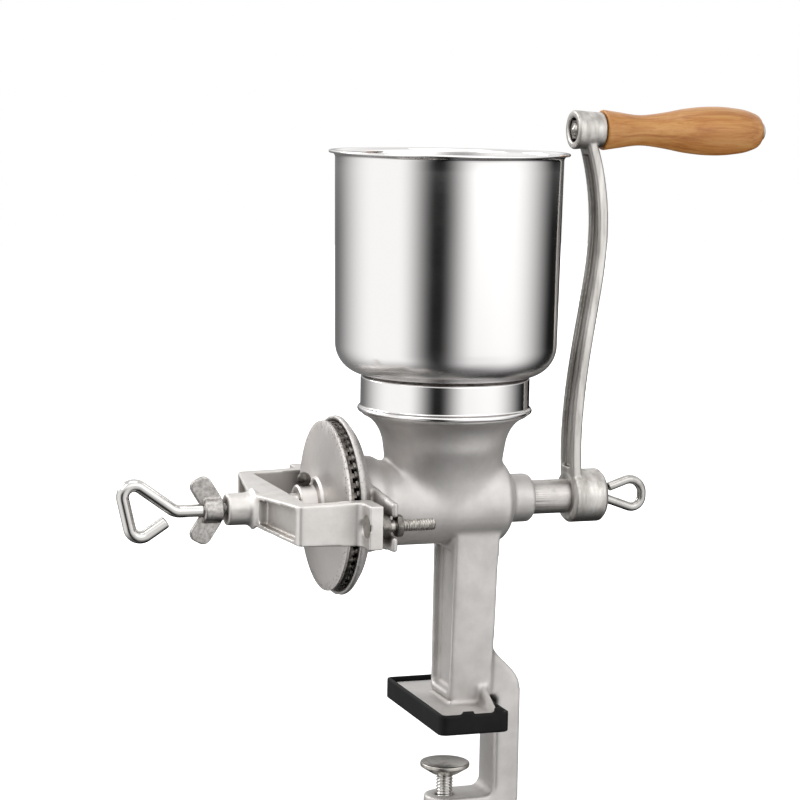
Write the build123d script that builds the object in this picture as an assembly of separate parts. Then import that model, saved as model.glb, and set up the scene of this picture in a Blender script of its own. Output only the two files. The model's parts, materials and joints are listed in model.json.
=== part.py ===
from build123d import *
import math
import os

# A clamp-on hand crank grinder: an iron casting on a table clamp, a steel hopper,
# a feed auger, a pair of grinding plates, and a yoke whose screw sets their gap.
# Millimetres. X runs along the shaft towards the crank, Y away from the front and
# Z up. The origin is on the hopper's axis, on the underside of the foot pad.

os.makedirs("parts", exist_ok=True)

# ---- fits ---------------------------------------------------------------------
RUN_FIT = 0.05  # radial, a shaft or screw that turns in its hole
SLIP_FIT = 0.3  # radial or per side, pieces that slip together
FACE_FIT = 0.02  # between faces that slide on each other
EDGE_BREAK = 0.8  # small bevel on turned and cast edges

# ---- the casting --------------------------------------------------------------
AXIS_Z = 131.3  # height of the shaft over the table
FLANGE_R = 53.3
FLANGE_FRONT_X = -68.4
FLANGE_RIM = 3.1  # width of the flange's round rim
FLANGE_BEVEL = 5.3  # depth of the bevel behind the rim
FLANGE_BACK_R = 46.0
FLANGE_ROOT = 6.0  # fillet between flange and housing
HOUSING_R = 28.8  # the wide part behind the flange
HOUSING_END_X = -46.0
BARREL_R = 25.6
BARREL_START_X = -40.0
BARREL_SHOULDER_X = 34.0  # where the barrel's end starts to round off
BARREL_END_X = 41.2
BEARING_R = 14.8  # the crank side bearing boss
BEARING_END_X = 56.0
BEARING_CHAMFER = 2.4
BORE_R = 20.0  # the auger's chamber
BORE_END_X = 30.0
NECK_TOP_Z = 185.6  # the shoulder that the collar stands on
NECK_TOP_R = 50.4
NECK_EDGE = 1.2  # height of the shoulder's straight edge
NECK_FLARE_Z = 180.0
NECK_FLARE_R = 43.0
NECK_WAIST_Z = 174.0
NECK_WAIST_R = 39.0
NECK_MID_Z = 165.0
NECK_MID_R = 36.6
NECK_OVALS = [(156.0, 35.9, 31.6), (145.0, 35.4, 27.4)]  # (z, half length, half width)
NECK_FOOT_A = 35.0  # half length along X where the neck meets the barrel
NECK_FOOT_B = 25.3  # half width along Y there
SPIGOT_HEIGHT = 13.0  # the ring inside the collar
SPIGOT_WALL = 5.0
THROAT_A = 27.0  # the feed hole into the chamber, half length along X
THROAT_B = 15.0
THROAT_MID_R = 31.0
LUG_SPAN = 80.0  # outer end of a lug from the axis
LUG_BACK_X = -55.2
LUG_THICK = 4.2
LUG_ROOT_Y = 24.0
LUG_ROOT_HALF = 19.0  # half height at the housing
LUG_TIP_HALF = 14.0
LUG_SLOT = 10.7  # the open slot for the bolt
LUG_SLOT_DEPTH = 14.0
LEG_FOOT = (0.0, 28.0, 17.0)  # the leg's left X, right X and half width at its foot
LEG_TOP = (1.5, 31.0, 19.5)  # and at the barrel
LEG_FLANGE = 3.2  # thickness of the leg's two cheeks
LEG_RECESS = 5.0  # how deep the web lies behind the cheeks' edges
LEG_ROUND = 2.0
LEG_SWELL_Z = 56.0  # where the leg starts to swell into the spine
LEG_SWELL_MID = [(31.0, 40.2), (38.0, 32.8)]  # (x, z) of the swell
LEG_SWELL_END_Z = 16.0
CHAMBER_LAP = 14.0  # the leg reaches this near to the shaft's axis, into the barrel
SPINE_LAP = 6.0  # how far the spine reaches into the leg
RIB_X = 21.8
RIB_RISE = 12.0
RIB_HALF = 2.2
RIB_MARGIN = 6.0  # rib's foot to the end of the plate
SPINE_OUT_X = 48.0  # the clamp's spine
SPINE_IN_X = 32.0
SPINE_WIDTH = 28.0
JAW_OPENING = 50.0  # pad's underside to the lower jaw
JAW_THICK = 13.0
JAW_CORNER = 11.0
SCREW_BOSS_R = 12.5

# ---- foot plate and its rubber pad ----------------------------------------------
PAD_X = (-17.0, 27.0)
PAD_WIDTH = 102.0
PAD_FLOOR = 4.0
PAD_LIP = 12.0
PAD_WALL = 2.6
PAD_CORNER = 5.0
PAD_TAB = 3.0  # height of the small tab on the lip
PAD_TAB_LENGTH = 5.0
PAD_BUMP = 1.8  # height of the low bump on the lip
PAD_BUMP_X = (-3.0, 4.0)
PLATE_THICK = 5.5

# ---- hopper -------------------------------------------------------------------
SHEET = 1.0  # thickness of the spun steel
COLLAR_R = 50.5
COLLAR_HEIGHT = 22.4
COLLAR_BEAD = 1.7  # how far the rolled edge stands out
CUP_TOP_R = 67.7
CUP_LOW_R = 66.1
CUP_CORNER = 18.5
CUP_HEIGHT = 132.3
RIM_OVERHANG = 3.8  # how far the rolled lip stands out past the wall
RIM_THICK = 1.7
OUTLET_R = 44.0

# ---- grinding plates and their carrier --------------------------------------------
BURR_PLANE_X = -70.0
BURR_GAP = 0.3
BURR_R = 50.0
BURR_BASE = 3.0  # solid back of a fixed plate
BURR_TEETH = 1.5  # depth of the grooves
TURNING_BASE = 1.75
FIXED_HOLE_R = 20.0
TURNING_HOLE_R = 15.0
INNER_TEETH = 18
OUTER_TEETH = 54
TEETH_SPLIT_R = 36.0
TOOTH_SHARE = 0.5  # land width as a share of the pitch
TOOTH_SLANT = 14.0  # degrees off the radius
CARRIER_R = 50.4
CARRIER_RIM = 1.5
DOME_R = 17.6  # the raised ring at the hub's foot
DOME_X = -79.6
HUB_R = 13.0
HUB_END_X = -92.0
SPIGOT_LENGTH = 1.2

# ---- shaft, auger, crank ----------------------------------------------------------
SHAFT_END_X = -96.0
HUB_SHAFT_R = 8.0
CORE_R = 9.5
FLIGHT_R = 19.3
FLIGHT_START_X = -58.0
FLIGHT_END_X = 28.0
FLIGHT_PITCH = 33.0
FLIGHT_WIDE = 54.0  # angle that the flight covers at its root, degrees
FLIGHT_NARROW = 34.0  # and at its edge
JOURNAL_R = 10.4
SQUARE = 14.4  # drive square on the shaft's end
CRANK_LEFT_X = 79.5
CRANK_RIGHT_X = 102.5
CRANK_BOSS_R = 16.25
CRANK_BOSS_BEVEL = 2.2
CRANK_MOUTH = 2.9  # flare of the screw's hole at the outer face
CRANK_WALL = 6.5  # wall between the square hole and the boss's outer face
GRIP_AXIS_Z = 353.8
ARM_THICK = 7.0
ARM_LOW_WIDTH = 20.0
ARM_TOP_WIDTH = 16.0
ARM_RIM = 4.0  # the ridges beside the arm's groove
ARM_GROOVE = 2.6
ARM_BEVEL = 1.4
TOP_BOSS_R = 11.75
TOP_BOSS_LEFT_X = 78.3
TOP_BOSS_RIGHT_X = 97.0
TOP_BOSS_TAPER = 1.3
NUT_POCKET_R = 7.4
NUT_POCKET_DEPTH = 6.0
# centreline of the S-curved arm, (x, share of the way from the shaft up to the grip's axis)
ARM_CURVE = [(84.5, 0.012), (83.1, 0.21), (90.4, 0.484), (96.6, 0.713), (93.0, 0.892), (87.0, 0.983)]
ARM_ROUTE = [(x, AXIS_Z + share * (GRIP_AXIS_Z - AXIS_Z)) for x, share in ARM_CURVE]

BALL_R = 4.0
BALL_X = -94.5
PIN_R = 3.0
PIN_X = -87.3
PIN_HEAD_R = 4.3
PIN_LENGTH = 18.0

# ---- grip -----------------------------------------------------------------------
SPINDLE_R = 4.0
SPINDLE_SHOULDER_R = 5.6
SPINDLE_SHOULDER = 1.2
SPINDLE_HEAD_R = 6.0
SPINDLE_HEAD = 2.2
GRIP_END_X = 202.4
GRIP_START_R = 12.1
GRIP_WAIST = (121.8, 9.2)
GRIP_BELLY = (167.0, 14.8)
GRIP_NOSE = 7.0  # from the tip to where the belly has rounded in
GRIP_NOSE_R = 12.0
GRIP_TIP_R = 7.2
NUT_FLATS = 11.0
NUT_THICK = 5.0

# ---- yoke, bolts, screws ------------------------------------------------------------
YOKE_FRONT_X = -119.0
YOKE_CORNER_X = -109.8
YOKE_INNER_X = -102.5  # back of the bridge
YOKE_HEIGHT = 25.4
YOKE_CORNER_HEIGHT = 23.0
YOKE_CENTRE_HEIGHT = 18.8  # the bridge is lowest at its boss
YOKE_ARM = 8.0
YOKE_BOSS_R = 9.5
YOKE_BOSS_X = -135.0
YOKE_BOSS_ROOT = 5.0  # fillet at the foot of the boss
YOKE_BOSS_ROOT_R = 12.4
YOKE_FLAT = 11.0  # half width of the flat behind the boss
YOKE_CORNER_ROUND = 3.0
YOKE_EAR_ROUND = 5.0  # hollow between an arm and its ear
YOKE_INNER_ROUND = 4.0
YOKE_POCKET = 5.5  # depth of the front's two panels
YOKE_RIM = 2.6
EAR_FRONT_X = -72.5
EAR_THICK = 8.0
BOLT_EDGE = 6.8  # bolt centre to the end of the lug
BOLT_Y = LUG_SPAN - BOLT_EDGE
BOLT_R = 3.5
BOLT_END_X = -31.5
BOLT_HEAD_R = 6.6  # countersunk into the ear
BOLT_HEAD = 3.4
BOLT_SINK = 0.3  # how far the head lies below the ear's face
HEAD_CLEARANCE = 1.7  # between a bolt head and the arm beside it
YOKE_HALF = BOLT_Y - BOLT_HEAD_R - HEAD_CLEARANCE
HEX_FLATS = 12.0
HEX_THICK = 3.6

ADJUSTER_R = 3.75
ADJUSTER_NECK_X = -165.0
LOCK_RIGHT_X = -137.0
LOCK_LEFT_X = -148.5
LOCK_HUB_R = 7.2
WING_TIP_X = -156.5
WING_SPAN = 39.0
WING_THICK = 3.6

CRANK_SCREW_R = 2.75
CRANK_SCREW_NECK_X = 99.5
CRANK_SCREW_DEPTH = 26.0

CLAMP_X = 5.0
CLAMP_R = 5.0
CLAMP_TIP_R = 3.4
CLAMP_NECK_Z = -101.0
DISC_TOP_Z = -30.0
DISC_R = 15.0
DISC_THICK = 7.0
DISC_SOCKET = 4.5

# A bent-wire eye, as (outwards, sideways) corners with their bend radii: one like a
# teardrop, as ratios of the wire's radius, and a rounder one in millimetres.
TEARDROP_RATIOS = [(0.0, 0.0), (9.3, 6.7), (6.6, -4.9), (1.4, -1.5)]
TEARDROP_BEND_RATIOS = [2.6, 1.75, 1.75]
ROUND_EYE = [(0.0, 0.0), (31.0, -11.3), (31.3, 12.0), (8.4, 4.3)]
ROUND_EYE_BENDS = [6.0, 6.5, 8.5]

SHAFT_LINE = Axis((0, 0, AXIS_Z), (1, 0, 0))


# ---- helpers ------------------------------------------------------------------
def save(shape, name):
    """Write one sub-part to its own STEP file."""
    shape.label = name
    export_step(shape, "parts/" + name + ".step")


def rod_x(radius, x0, x1, y=0.0, z=AXIS_Z):
    """A round bar along X from x0 to x1."""
    return Pos((x0 + x1) / 2, y, z) * Rot(0, 90, 0) * Cylinder(radius, abs(x1 - x0))


def rod_z(radius, z0, z1, x=0.0, y=0.0):
    """A round bar along Z from z0 to z1."""
    return Pos(x, y, (z0 + z1) / 2) * Cylinder(radius, abs(z1 - z0))


def block(x_span, y_span, z_span):
    """A box between the given lowest and highest X, Y and Z."""
    spans = (x_span, y_span, z_span)
    middle = [(low + high) / 2 for low, high in spans]
    return Pos(*middle) * Box(*[high - low for low, high in spans])


def turned_x(*edges):
    """Revolve a closed outline, drawn as (x, distance from the shaft), about the shaft."""
    face = Plane((0, 0, AXIS_Z), x_dir=(1, 0, 0), z_dir=(0, -1, 0)) * make_face(edges)
    return revolve(face, SHAFT_LINE)


def turned_z(*edges):
    """Revolve a closed outline, drawn as (radius, z), about the hopper's axis."""
    return revolve(Plane.XZ * make_face(edges), Axis.Z)


def plate_xz(outline, half_width):
    """Extrude an outline drawn in X and Z to both sides of Y = 0."""
    return extrude(Plane.XZ * make_face(outline), half_width, both=True)


def oval(a, b, z):
    """A flat ellipse at height z for a loft."""
    return Plane((0, 0, z)) * make_face(Ellipse(a, b).edges())


def hexagon_bar(flats, x0, x1, y, z):
    """A hexagonal bar along X."""
    place = Plane((x0, y, z), x_dir=(0, 1, 0), z_dir=(1, 0, 0))
    return extrude(place * RegularPolygon(flats / 2, 6, major_radius=False), x1 - x0)


def eye_screw(wire_r, shank, corners, bends):
    """A screw bent from one rod: a straight shank along +X that ends at its tip, and an eye behind it."""
    points = [(shank, 0.0)] + [(-out, side) for out, side in corners]
    path = FilletPolyline(*points, radius=bends)
    section = Plane(path @ 0, z_dir=path % 0) * Circle(wire_r)
    return sweep(section, path=path)


# ---- the casting ----------------------------------------------------------------
def casting_core():
    """Flange, housing, barrel and bearing boss: one turned form."""
    rim_x = FLANGE_FRONT_X + FLANGE_RIM
    back_x = rim_x + FLANGE_BEVEL
    root_x = back_x + 1
    root_end_x = root_x + FLANGE_ROOT
    flange = Polyline((FLANGE_FRONT_X, 0), (FLANGE_FRONT_X, FLANGE_R), (rim_x, FLANGE_R),
                      (back_x, FLANGE_BACK_R), (root_x, HOUSING_R + FLANGE_ROOT))
    bend = FLANGE_ROOT * 0.29
    root = ThreePointArc((root_x, HOUSING_R + FLANGE_ROOT), (root_x + bend, HOUSING_R + bend),
                         (root_end_x, HOUSING_R))
    body = Polyline((root_end_x, HOUSING_R), (HOUSING_END_X, HOUSING_R), (BARREL_START_X, BARREL_R),
                    (BARREL_SHOULDER_X, BARREL_R))
    fall = BARREL_R - BEARING_R
    round_mid = (BARREL_SHOULDER_X + (BARREL_END_X - BARREL_SHOULDER_X) * 0.58, BARREL_R - fall * 0.41)
    shoulder = ThreePointArc((BARREL_SHOULDER_X, BARREL_R), round_mid, (BARREL_END_X, BEARING_R))
    boss = Polyline((BARREL_END_X, BEARING_R), (BEARING_END_X - BEARING_CHAMFER, BEARING_R),
                    (BEARING_END_X, BEARING_R - BEARING_CHAMFER), (BEARING_END_X, 0), (FLANGE_FRONT_X, 0))
    return turned_x(flange, root, body, shoulder, boss)


def neck():
    """The funnel that carries the hopper: a turned flare over an oval foot."""
    spigot_r = COLLAR_R - SHEET - SLIP_FIT
    spigot_top = NECK_TOP_Z + SPIGOT_HEIGHT
    side = Spline((NECK_TOP_R, NECK_TOP_Z - NECK_EDGE), (NECK_FLARE_R, NECK_FLARE_Z),
                  (NECK_WAIST_R, NECK_WAIST_Z), (NECK_MID_R, NECK_MID_Z))
    top = Polyline((NECK_MID_R, NECK_MID_Z), (0, NECK_MID_Z), (0, spigot_top), (spigot_r - 1, spigot_top),
                   (spigot_r, spigot_top - 1), (spigot_r, NECK_TOP_Z), (NECK_TOP_R, NECK_TOP_Z),
                   (NECK_TOP_R, NECK_TOP_Z - NECK_EDGE))
    flare = turned_z(side, top)
    between = [oval(half_length, half_width, z) for z, half_length, half_width in NECK_OVALS]
    foot = oval(NECK_FOOT_A, NECK_FOOT_B, AXIS_Z)
    lower = loft([oval(NECK_MID_R, NECK_MID_R, NECK_MID_Z), *between, foot])
    return flare + lower


def throat():
    """The way that the grain falls, from the hopper's outlet to the chamber."""
    top_z = NECK_TOP_Z + SPIGOT_HEIGHT
    top_r = COLLAR_R - SHEET - SLIP_FIT - SPIGOT_WALL
    upper = loft([oval(top_r, top_r, top_z + 1), oval(THROAT_MID_R, THROAT_MID_R, NECK_MID_Z)])
    lower = loft([oval(THROAT_MID_R, THROAT_MID_R, NECK_MID_Z), oval(THROAT_A, THROAT_B, AXIS_Z + 8)])
    return upper + lower


def lug(side):
    """One forked lug of the casting; side is -1 for the near one and +1 for the far one."""
    tip_drop = LUG_ROOT_HALF - LUG_TIP_HALF
    outline = Polyline((LUG_ROOT_Y, -LUG_ROOT_HALF), (LUG_SPAN, -LUG_ROOT_HALF + tip_drop),
                       (LUG_SPAN, LUG_ROOT_HALF - tip_drop), (LUG_ROOT_Y, LUG_ROOT_HALF), close=True)
    front_x = LUG_BACK_X - LUG_THICK
    place = Plane((front_x, 0, AXIS_Z), x_dir=(0, side, 0), z_dir=(1, 0, 0) if side > 0 else (-1, 0, 0))
    plate = extrude(place * make_face(outline), LUG_THICK * side)
    slot_start = LUG_SPAN - LUG_SLOT_DEPTH + LUG_SLOT / 2
    y_span = sorted((side * slot_start, side * (LUG_SPAN + 1)))
    x_span = (front_x - 1, LUG_BACK_X + 1)
    slot = block(x_span, y_span, (AXIS_Z - LUG_SLOT / 2, AXIS_Z + LUG_SLOT / 2))
    slot += rod_x(LUG_SLOT / 2, *x_span, y=side * slot_start)
    return plate - slot


def leg_form(foot, top, radius):
    """A tapered post between two rectangles, each (left X, right X, half width)."""
    sections = []
    for z, (left, right, half) in ((PAD_LIP + 1, foot), (AXIS_Z - CHAMBER_LAP, top)):
        size = (right - left, 2 * half)
        outline = RectangleRounded(*size, radius) if radius else Rectangle(*size)
        sections.append(Pos((left + right) / 2, 0, z) * outline)
    return loft(sections)


def leg():
    """The clamp's upright: two cheeks and a web, hollowed from the front and the back."""
    outer = leg_form(LEG_FOOT, LEG_TOP, LEG_ROUND)
    foot_left, foot_right, foot_half = LEG_FOOT
    top_left, top_right, top_half = LEG_TOP
    plate_end = PAD_X[1] - PAD_WALL - SLIP_FIT
    outer += block((foot_left + LEG_ROUND, plate_end), (-foot_half, foot_half), (PAD_FLOOR + 1, PAD_LIP + 1))
    cut_foot, cut_top = foot_half - LEG_FLANGE, top_half - LEG_FLANGE
    left = leg_form((foot_left - 1, foot_left + LEG_RECESS, cut_foot),
                    (top_left - 1, top_left + LEG_RECESS, cut_top), 0)
    right = leg_form((foot_right - LEG_RECESS, foot_right + 1, cut_foot),
                     (top_right - LEG_RECESS, top_right + 1, cut_top), 0)
    room = (-BARREL_END_X, BARREL_END_X)
    top = AXIS_Z - HOUSING_R
    left &= block(room, room, (PAD_LIP + 5, top))
    right &= block(room, room, (LEG_SWELL_Z + 4, top))
    return outer - left - right


def clamp_frame():
    """Spine and lower jaw, with the boss for the clamp screw."""
    jaw_top = -JAW_OPENING
    jaw_low = jaw_top - JAW_THICK
    start_x = LEG_FOOT[1] + 0.8
    lap_x = start_x - SPINE_LAP
    lap_z = PAD_LIP + 1
    swell = Spline((start_x, LEG_SWELL_Z), *LEG_SWELL_MID, (SPINE_OUT_X, LEG_SWELL_END_Z))
    rest = FilletPolyline((SPINE_OUT_X, LEG_SWELL_END_Z), (SPINE_OUT_X, jaw_low), (CLAMP_X, jaw_low),
                          (CLAMP_X, jaw_top), (SPINE_IN_X, jaw_top), (SPINE_IN_X, lap_z), (lap_x, lap_z),
                          (lap_x, LEG_SWELL_Z), (start_x, LEG_SWELL_Z),
                          radius=[JAW_CORNER, 0, 0, JAW_CORNER / 2, 3, 0, 0])
    frame = plate_xz([swell, rest], SPINE_WIDTH / 2)
    boss = rod_z(SCREW_BOSS_R, jaw_low - 2, jaw_top, x=CLAMP_X)
    bore = rod_z(CLAMP_R + RUN_FIT, jaw_low - 3, jaw_top + 1, x=CLAMP_X)
    return frame + boss - bore


def foot_plate():
    """The flat foot that the rubber tray holds, with its two ribs."""
    half = PAD_WIDTH / 2 - PAD_WALL - SLIP_FIT
    x_span = (PAD_X[0] + PAD_WALL + SLIP_FIT, PAD_X[1] - PAD_WALL - SLIP_FIT)
    plate = block(x_span, (-half, half), (PAD_FLOOR, PAD_FLOOR + PLATE_THICK))
    plate = fillet(plate.edges().filter_by(Axis.Z), PAD_CORNER - PAD_WALL)
    top = PAD_FLOOR + PLATE_THICK
    root = LEG_FOOT[2] - LEG_ROUND
    wedge = Polyline((root, top - 1), (half - RIB_MARGIN, top - 1), (root, top + RIB_RISE), close=True)
    for side in (-1, 1):
        place = Plane((RIB_X, 0, 0), x_dir=(0, side, 0), z_dir=(side, 0, 0))
        plate += extrude(place * make_face(wedge), RIB_HALF, both=True)
    return plate


def mill_body():
    """The iron casting in one piece."""
    body = casting_core() + neck() + lug(-1) + lug(1) + leg() + clamp_frame() + foot_plate()
    chamber = rod_x(BORE_R, FLANGE_FRONT_X - 1, BORE_END_X)
    seat_back = BURR_PLANE_X + BURR_GAP / 2 + BURR_TEETH + BURR_BASE
    seat = rod_x(BURR_R + SLIP_FIT, FLANGE_FRONT_X - 1, seat_back)
    bearing = rod_x(JOURNAL_R + RUN_FIT, BORE_END_X - 1, BEARING_END_X + 1)
    return body - chamber - seat - bearing - throat()


def foot_pad():
    """The rubber tray under and round the foot plate."""
    half = PAD_WIDTH / 2
    outer = block(PAD_X, (-half, half), (0, PAD_LIP))
    outer = fillet(outer.edges().filter_by(Axis.Z), PAD_CORNER)
    x_in = (PAD_X[0] + PAD_WALL, PAD_X[1] - PAD_WALL)
    hollow = block(x_in, (-half + PAD_WALL, half - PAD_WALL), (PAD_FLOOR, PAD_LIP + 1))
    hollow = fillet(hollow.edges().filter_by(Axis.Z), PAD_CORNER - PAD_WALL)
    tray = outer - hollow
    y_near = (-half, -half + PAD_WALL)
    tray += block(PAD_BUMP_X, y_near, (PAD_LIP - 1, PAD_LIP + PAD_BUMP))
    tab_end = PAD_X[1] - PAD_CORNER
    tray += block((tab_end - PAD_TAB_LENGTH, tab_end), y_near, (PAD_LIP - 1, PAD_LIP + PAD_TAB))
    return tray


# ---- grinding plates --------------------------------------------------------------
def tooth_ring(count, r0, r1, share):
    """Slanted lands between two radii, as one flat sketch round the shaft."""
    pitch = 2 * math.pi / count
    ring = Circle(r1) - Circle(r0)
    lands = []
    for i in range(count):
        turn = i * pitch
        lean = math.radians(TOOTH_SLANT)
        low, high = r0 - 0.5, r1 + 0.5
        far_turn = turn + (high - low) * math.tan(lean) / high
        half = share * pitch / 2
        corners = [(low, turn - half), (high, far_turn - half), (high, far_turn + half), (low, turn + half)]
        lands.append(Polygon(*[(r * math.cos(a), r * math.sin(a)) for r, a in corners], align=None))
    return [land & ring for land in lands]


def burr(back_x, base, hole_r, facing):
    """A grinding plate: a flat ring whose lands stand towards +X or -X (facing)."""
    place = Plane((back_x, 0, AXIS_Z), x_dir=(0, 1, 0), z_dir=(facing, 0, 0))
    plate = extrude(place * (Circle(BURR_R) - Circle(hole_r)), base)
    lands = tooth_ring(OUTER_TEETH, TEETH_SPLIT_R + 0.8, BURR_R, TOOTH_SHARE)
    lands += tooth_ring(INNER_TEETH, hole_r + 1.5, TEETH_SPLIT_R - 0.8, TOOTH_SHARE * 0.7)
    face = place.offset(base - 0.2)
    teeth = [extrude(face * land, BURR_TEETH + 0.2) for land in lands]
    return plate.fuse(*teeth)


def fixed_burr():
    """The still plate, seated in the flange."""
    back = BURR_PLANE_X + BURR_GAP / 2 + BURR_TEETH + BURR_BASE
    return burr(back, BURR_BASE, FIXED_HOLE_R, -1)


def rotating_burr():
    """The turning plate, on the carrier's back."""
    back = BURR_PLANE_X - BURR_GAP / 2 - BURR_TEETH - TURNING_BASE
    return burr(back, TURNING_BASE, TURNING_HOLE_R, 1)


def burr_carrier():
    """The domed turning disc with its hub."""
    back = BURR_PLANE_X - BURR_GAP / 2 - BURR_TEETH - TURNING_BASE
    rim = back - CARRIER_RIM
    spigot_r = TURNING_HOLE_R - RUN_FIT
    dome = Spline((rim, CARRIER_R), (rim - 1.7, 38.0), (DOME_X + 1.3, DOME_R + 5))
    front = Polyline((DOME_X + 1.3, DOME_R + 5), (DOME_X, DOME_R), (DOME_X - 1.6, DOME_R - 1.2),
                     (DOME_X - 2.4, HUB_R), (HUB_END_X + 1, HUB_R), (HUB_END_X, HUB_R - 1),
                     (HUB_END_X, HUB_SHAFT_R + RUN_FIT), (back + SPIGOT_LENGTH, HUB_SHAFT_R + RUN_FIT),
                     (back + SPIGOT_LENGTH, spigot_r), (back, spigot_r), (back, CARRIER_R),
                     (rim, CARRIER_R))
    disc = turned_x(dome, front)
    return disc - rod_z(PIN_R + RUN_FIT, AXIS_Z, AXIS_Z + HUB_R + 1, x=PIN_X)


# ---- shaft and auger --------------------------------------------------------------
def flight():
    """The feed screw: a lobe that turns as it runs along the shaft, left-handed."""
    wide = math.radians(FLIGHT_WIDE / 2)
    narrow = math.radians(FLIGHT_NARROW / 2)
    root = (CORE_R * math.cos(wide), CORE_R * math.sin(wide))
    edge = (FLIGHT_R * math.cos(narrow), FLIGHT_R * math.sin(narrow))
    outline = [Line((root[0], -root[1]), (edge[0], -edge[1])),
               ThreePointArc((edge[0], -edge[1]), (FLIGHT_R, 0), edge),
               Line(edge, root),
               ThreePointArc(root, (-CORE_R, 0), (root[0], -root[1]))]
    face = make_face(outline).face()
    length = FLIGHT_END_X - FLIGHT_START_X
    turn = -360 * length / FLIGHT_PITCH
    screw = Solid.extrude_linear_with_rotation(face, (0, 0, 0), (0, 0, length), turn)
    return Pos(FLIGHT_START_X, 0, AXIS_Z) * Rot(0, 90, 0) * screw


def auger():
    """Feed screw, journal, drive square and the socket for the thrust ball in one piece."""
    seat_x = BURR_PLANE_X - BURR_GAP / 2 - BURR_TEETH - TURNING_BASE + SPIGOT_LENGTH
    journal_x = BORE_END_X - 1.0
    square_end = CRANK_RIGHT_X - CRANK_WALL - FACE_FIT
    shaft = rod_x(HUB_SHAFT_R, SHAFT_END_X, seat_x + 1)
    shaft += rod_x(CORE_R, seat_x, FLIGHT_START_X)
    shaft += flight()
    shaft += rod_x(CORE_R, FLIGHT_END_X, journal_x + 1)
    shaft += rod_x(JOURNAL_R, journal_x, CRANK_LEFT_X)
    half = SQUARE / 2
    drive = block((CRANK_LEFT_X - 1, square_end), (-half, half), (AXIS_Z - half, AXIS_Z + half))
    shaft += drive & rod_x(JOURNAL_R, CRANK_LEFT_X - 1, square_end)
    shaft -= rod_x(BALL_R + RUN_FIT, SHAFT_END_X - 1, BALL_X + BALL_R + FACE_FIT)
    tapped_x = CRANK_SCREW_NECK_X - CRANK_SCREW_DEPTH
    shaft -= rod_x(CRANK_SCREW_R + RUN_FIT, tapped_x - 1, square_end + 1)
    pin_foot = AXIS_Z + HUB_R + PIN_HEAD_R - PIN_LENGTH
    return shaft - rod_z(PIN_R + RUN_FIT, pin_foot - 0.5, AXIS_Z + HUB_R, x=PIN_X)


def steel_ball():
    """The ball that takes the grinding thrust."""
    return Pos(BALL_X, 0, AXIS_Z) * Sphere(BALL_R)


def hub_pin():
    """The round-headed cross pin that turns the carrier with the shaft."""
    head_z = AXIS_Z + HUB_R + math.sqrt(PIN_HEAD_R ** 2 - PIN_R ** 2) + FACE_FIT
    foot_z = AXIS_Z + HUB_R + PIN_HEAD_R - PIN_LENGTH
    return Pos(PIN_X, 0, head_z) * Sphere(PIN_HEAD_R) + rod_z(PIN_R, foot_z, head_z, x=PIN_X)


# ---- crank ------------------------------------------------------------------------
def arm_band(shift_left, shift_right, half_width):
    """The S-curve between two lines beside its centreline, as a plate along Y."""
    left = [(x + shift_left, z) for x, z in ARM_ROUTE]
    right = [(x + shift_right, z) for x, z in ARM_ROUTE]
    outline = [Spline(*left), Line(left[-1], right[-1]), Spline(*right), Line(right[0], left[0])]
    return plate_xz(outline, half_width)


def arm_taper(inset, z0, z1):
    """The arm's front view, narrower towards the grip, as a thick block along X."""
    low = ARM_LOW_WIDTH / 2 - inset
    high = ARM_TOP_WIDTH / 2 - inset
    outline = Polyline((-low, z0), (low, z0), (high, z1), (-high, z1), close=True)
    place = Plane((CRANK_LEFT_X - 10, 0, 0), x_dir=(0, 1, 0), z_dir=(1, 0, 0))
    return extrude(place * make_face(outline), 2 * (CRANK_RIGHT_X - CRANK_LEFT_X))


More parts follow.
